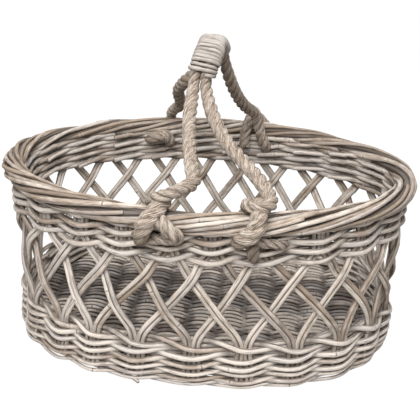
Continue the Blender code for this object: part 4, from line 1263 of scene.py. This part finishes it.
def rope_curve(side, offset):
    """The whole route of one rope: front knot, leg, grip, leg and back knot."""
    frames = [grip_frame(share) for share in np.linspace(1, 0, GRIP_POINTS)]
    grip = [place + across * offset for place, _, across, _ in frames]
    _, along, across, _ = frames[0]
    parting = across * math.copysign(ROPE_RADIUS - GRIP_ROPE_RADIUS, offset)
    front_exit = grip[0] + along * GRIP_NECK + parting
    back_exit = grip[-1] - frames[-1][1] * GRIP_NECK + parting
    front_knot, back_knot = knot_route("front_" + side), knot_route("back_" + side)
    front = leg_points("front_" + side, front_exit, Vector(front_knot[0][:3]))
    back = leg_points("back_" + side, back_exit, Vector(back_knot[0][:3]))
    held = [thick_point(place, GRIP_ROPE_RADIUS) for place in (front_exit, *grip)]
    held.append(thick_point(back_exit, GRIP_ROPE_RADIUS, BACK_LEG_PAINTED_SHADE))
    route = [*reversed(front_knot), *reversed(front), *held, *back, *back_knot]
    return relaxed_curve(smooth_curve(route))


def rope(side, offset):
    """One whole rope with its two knots."""
    points = even_points(rope_curve(side, offset), ROPE_STEP)
    radii = [point[3] for point in points]
    darkening = [clamped(point[4]) for point in points]
    points = [Vector(point[:3]) for point in points]
    wires = strand_wires("rope", [strand(points, radii, 0.5, blunt=False, hidden=darkening)])
    piece = grown("laid_rope_" + side, wires, ROPE_TREE, material=ROPE_FIBRE)
    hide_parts(f"rope_{side}", f"knot_front_{side}", f"knot_back_{side}")
    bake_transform(piece)
    return piece


for side, offset in (("left", -GRIP_ROPE_OFFSET), ("right", GRIP_ROPE_OFFSET)):
    rope(side, offset)


# Winding

def stadium_point(share, half_gap, radius):
    """A place on the outline round two circles: (across, up), by share of its length."""
    straight = 2 * half_gap
    length = 2 * straight + 2 * math.pi * radius
    run = (share % 1.0) * length
    if run < straight:
        return half_gap - run, radius
    run -= straight
    if run < math.pi * radius:
        angle = math.pi / 2 + run / radius
        return -half_gap + radius * math.cos(angle), radius * math.sin(angle)
    run -= math.pi * radius
    if run < straight:
        return -half_gap + run, -radius
    run -= straight
    angle = -math.pi / 2 + run / radius
    return half_gap + radius * math.cos(angle), radius * math.sin(angle)


def winding(name):
    """A flat core wound round both ropes, domed on its outer side."""
    reach = GRIP_ROPE_RADIUS + WINDING_CLEARANCE + WINDING_RADIUS
    count = WINDING_TURNS * WINDING_STEPS
    margin = 2 * WINDING_RADIUS / GRIP_LENGTH
    rows, runs, arounds = [], [], []
    last, run = None, 0.0
    for k in range(count + 1):
        share = margin + (1 - 2 * margin) * k / count
        place, along, across, spoke = grip_frame(share)
        u, v = stadium_point(k / WINDING_STEPS, GRIP_ROPE_OFFSET, reach)
        u1, v1 = stadium_point(k / WINDING_STEPS, GRIP_ROPE_OFFSET, reach + WINDING_RADIUS)
        centre = place + across * u + spoke * v
        outward = (across * (u1 - u) + spoke * (v1 - v)).normalized()
        run += (centre - last).length if last else 0.0
        last = centre
        wide = WINDING_WIDTH * (1 + WINDING_UNEVENNESS * wander(k * 0.02, 4))
        lift = WINDING_LIFT * wander(k * 0.03, 8)
        stray = WINDING_STRAY * wander(k * 0.025, 15) + WINDING_SLOPE * u
        rows.append([centre + along * (w * wide + stray) + outward * (h * WINDING_THICKNESS + lift)
                     for w, h in WINDING_OUTLINE])
        runs += [run] * len(WINDING_OUTLINE)
        arounds += [(w, h, 0) for w, h in WINDING_OUTLINE]
    bm = bmesh.new()
    rings = [[bm.verts.new(point) for point in row] for row in rows]
    for first, second in zip(rings, rings[1:]):
        for i in range(len(first)):
            j = (i + 1) % len(first)
            bm.faces.new((first[i], first[j], second[j], second[i]))
    bm.faces.new(rings[0])
    bm.faces.new(rings[-1])
    bmesh.ops.recalc_face_normals(bm, faces=bm.faces)
    mesh = bpy.data.meshes.new(name)
    bm.to_mesh(mesh)
    bm.free()
    note_points(mesh, "run", runs)
    note_points(mesh, "tone", [WINDING_TONE] * len(runs))
    note_points(mesh, "around", arounds)
    mesh.shade_smooth()
    mesh.set_sharp_from_angle(angle=WINDING_SHARP_ANGLE)
    mesh.materials.append(WINDING_CORE)
    piece = add_object(name, mesh)
    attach(piece, "handle")
    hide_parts("grip_winding")
    return piece


winding("flat_core_winding")


# Floor, light and camera

FLOOR_HALF = 6.0
FLOOR_COLOUR = (0.50, 0.49, 0.48, 1)
FLOOR_WHITE_STRENGTH = 1.21
FLOOR_SEEN_SHARE = 0.80
ROOM_STRENGTH = 0.31
LAMP_AIM = Vector((0, 0, 0.12))
LAMPS = (("key", (-0.10, -0.92, 1.10), 0.6, 17.5), ("top", (0.10, -0.15, 1.45), 0.8, 8.2))
CAMERA_PLACE = Vector((0.0735, -0.8387, 0.5228))
CAMERA_ELEVATION = math.radians(23.865)
CAMERA_AZIMUTH = math.radians(4.899)
CAMERA_ROLL = math.radians(2.026)
FOCAL_PIXELS = 726.6
IMAGE_PIXELS = 420
SENSOR_WIDTH = 36.0


def seen_white(tree, seen, plain, white, output):
    """Shows the camera a white surface where the light meets the plain one."""
    mix = add_node(tree, "ShaderNodeMixShader",
                   {0: seen, 1: plain.outputs[0], 2: white.outputs[0]})
    tree.links.new(mix.outputs[0], tree.nodes[output].inputs["Surface"])


def add_floor():
    mesh = bpy.data.meshes.new("floor")
    corners = [(x * FLOOR_HALF, y * FLOOR_HALF, 0) for x, y in ((-1, -1), (1, -1), (1, 1), (-1, 1))]
    mesh.from_pydata(corners, [], [(0, 1, 2, 3)])
    floor = add_object("floor", mesh)
    material = bpy.data.materials.new("white_floor")
    material.use_nodes = True
    tree = material.node_tree
    shader = tree.nodes["Principled BSDF"]
    shader.inputs["Base Color"].default_value = FLOOR_COLOUR
    shader.inputs["Roughness"].default_value = 0.9
    white = add_node(tree, "ShaderNodeEmission",
                     {"Color": (1, 1, 1, 1), "Strength": FLOOR_WHITE_STRENGTH})
    seen = add_node(tree, "ShaderNodeLightPath").outputs["Is Camera Ray"]
    seen_white(tree, times(tree, seen, FLOOR_SEEN_SHARE), shader, white, "Material Output")
    mesh.materials.append(material)


def add_world():
    world = bpy.data.worlds.new("studio")
    bpy.context.scene.world = world
    world.use_nodes = True
    tree = world.node_tree
    room = tree.nodes["Background"]
    room.inputs["Color"].default_value = (1, 1, 1, 1)
    room.inputs["Strength"].default_value = ROOM_STRENGTH
    white = add_node(tree, "ShaderNodeBackground", {"Color": (1, 1, 1, 1), "Strength": 1.0})
    path = add_node(tree, "ShaderNodeLightPath").outputs
    seen = calc(tree, "MAXIMUM", path["Is Camera Ray"], path["Is Glossy Ray"])
    seen = calc(tree, "MAXIMUM", seen, path["Is Transmission Ray"])
    seen_white(tree, seen, room, white, "World Output")


def add_lamp(name, place, size, power):
    light = bpy.data.lights.new(name, "AREA")
    light.shape = "SQUARE"
    light.size = size
    light.energy = power
    lamp = add_object(name, light)
    lamp.location = place
    lamp.rotation_euler = (LAMP_AIM - Vector(place)).to_track_quat("-Z", "Y").to_euler()


def add_camera():
    camera = bpy.data.cameras.new("camera")
    camera.sensor_width = SENSOR_WIDTH
    camera.lens = FOCAL_PIXELS / IMAGE_PIXELS * SENSOR_WIDTH
    holder = add_object("camera", camera)
    turn = (Matrix.Rotation(CAMERA_AZIMUTH, 4, "Z")
            @ Matrix.Rotation(math.pi / 2 - CAMERA_ELEVATION, 4, "X")
            @ Matrix.Rotation(CAMERA_ROLL, 4, "Z"))
    holder.matrix_world = Matrix.Translation(CAMERA_PLACE) @ turn
    bpy.context.scene.camera = holder


add_floor()
add_world()
for lamp in LAMPS:
    add_lamp(*lamp)
add_camera()
bpy.context.scene.view_settings.view_transform = "Standard"
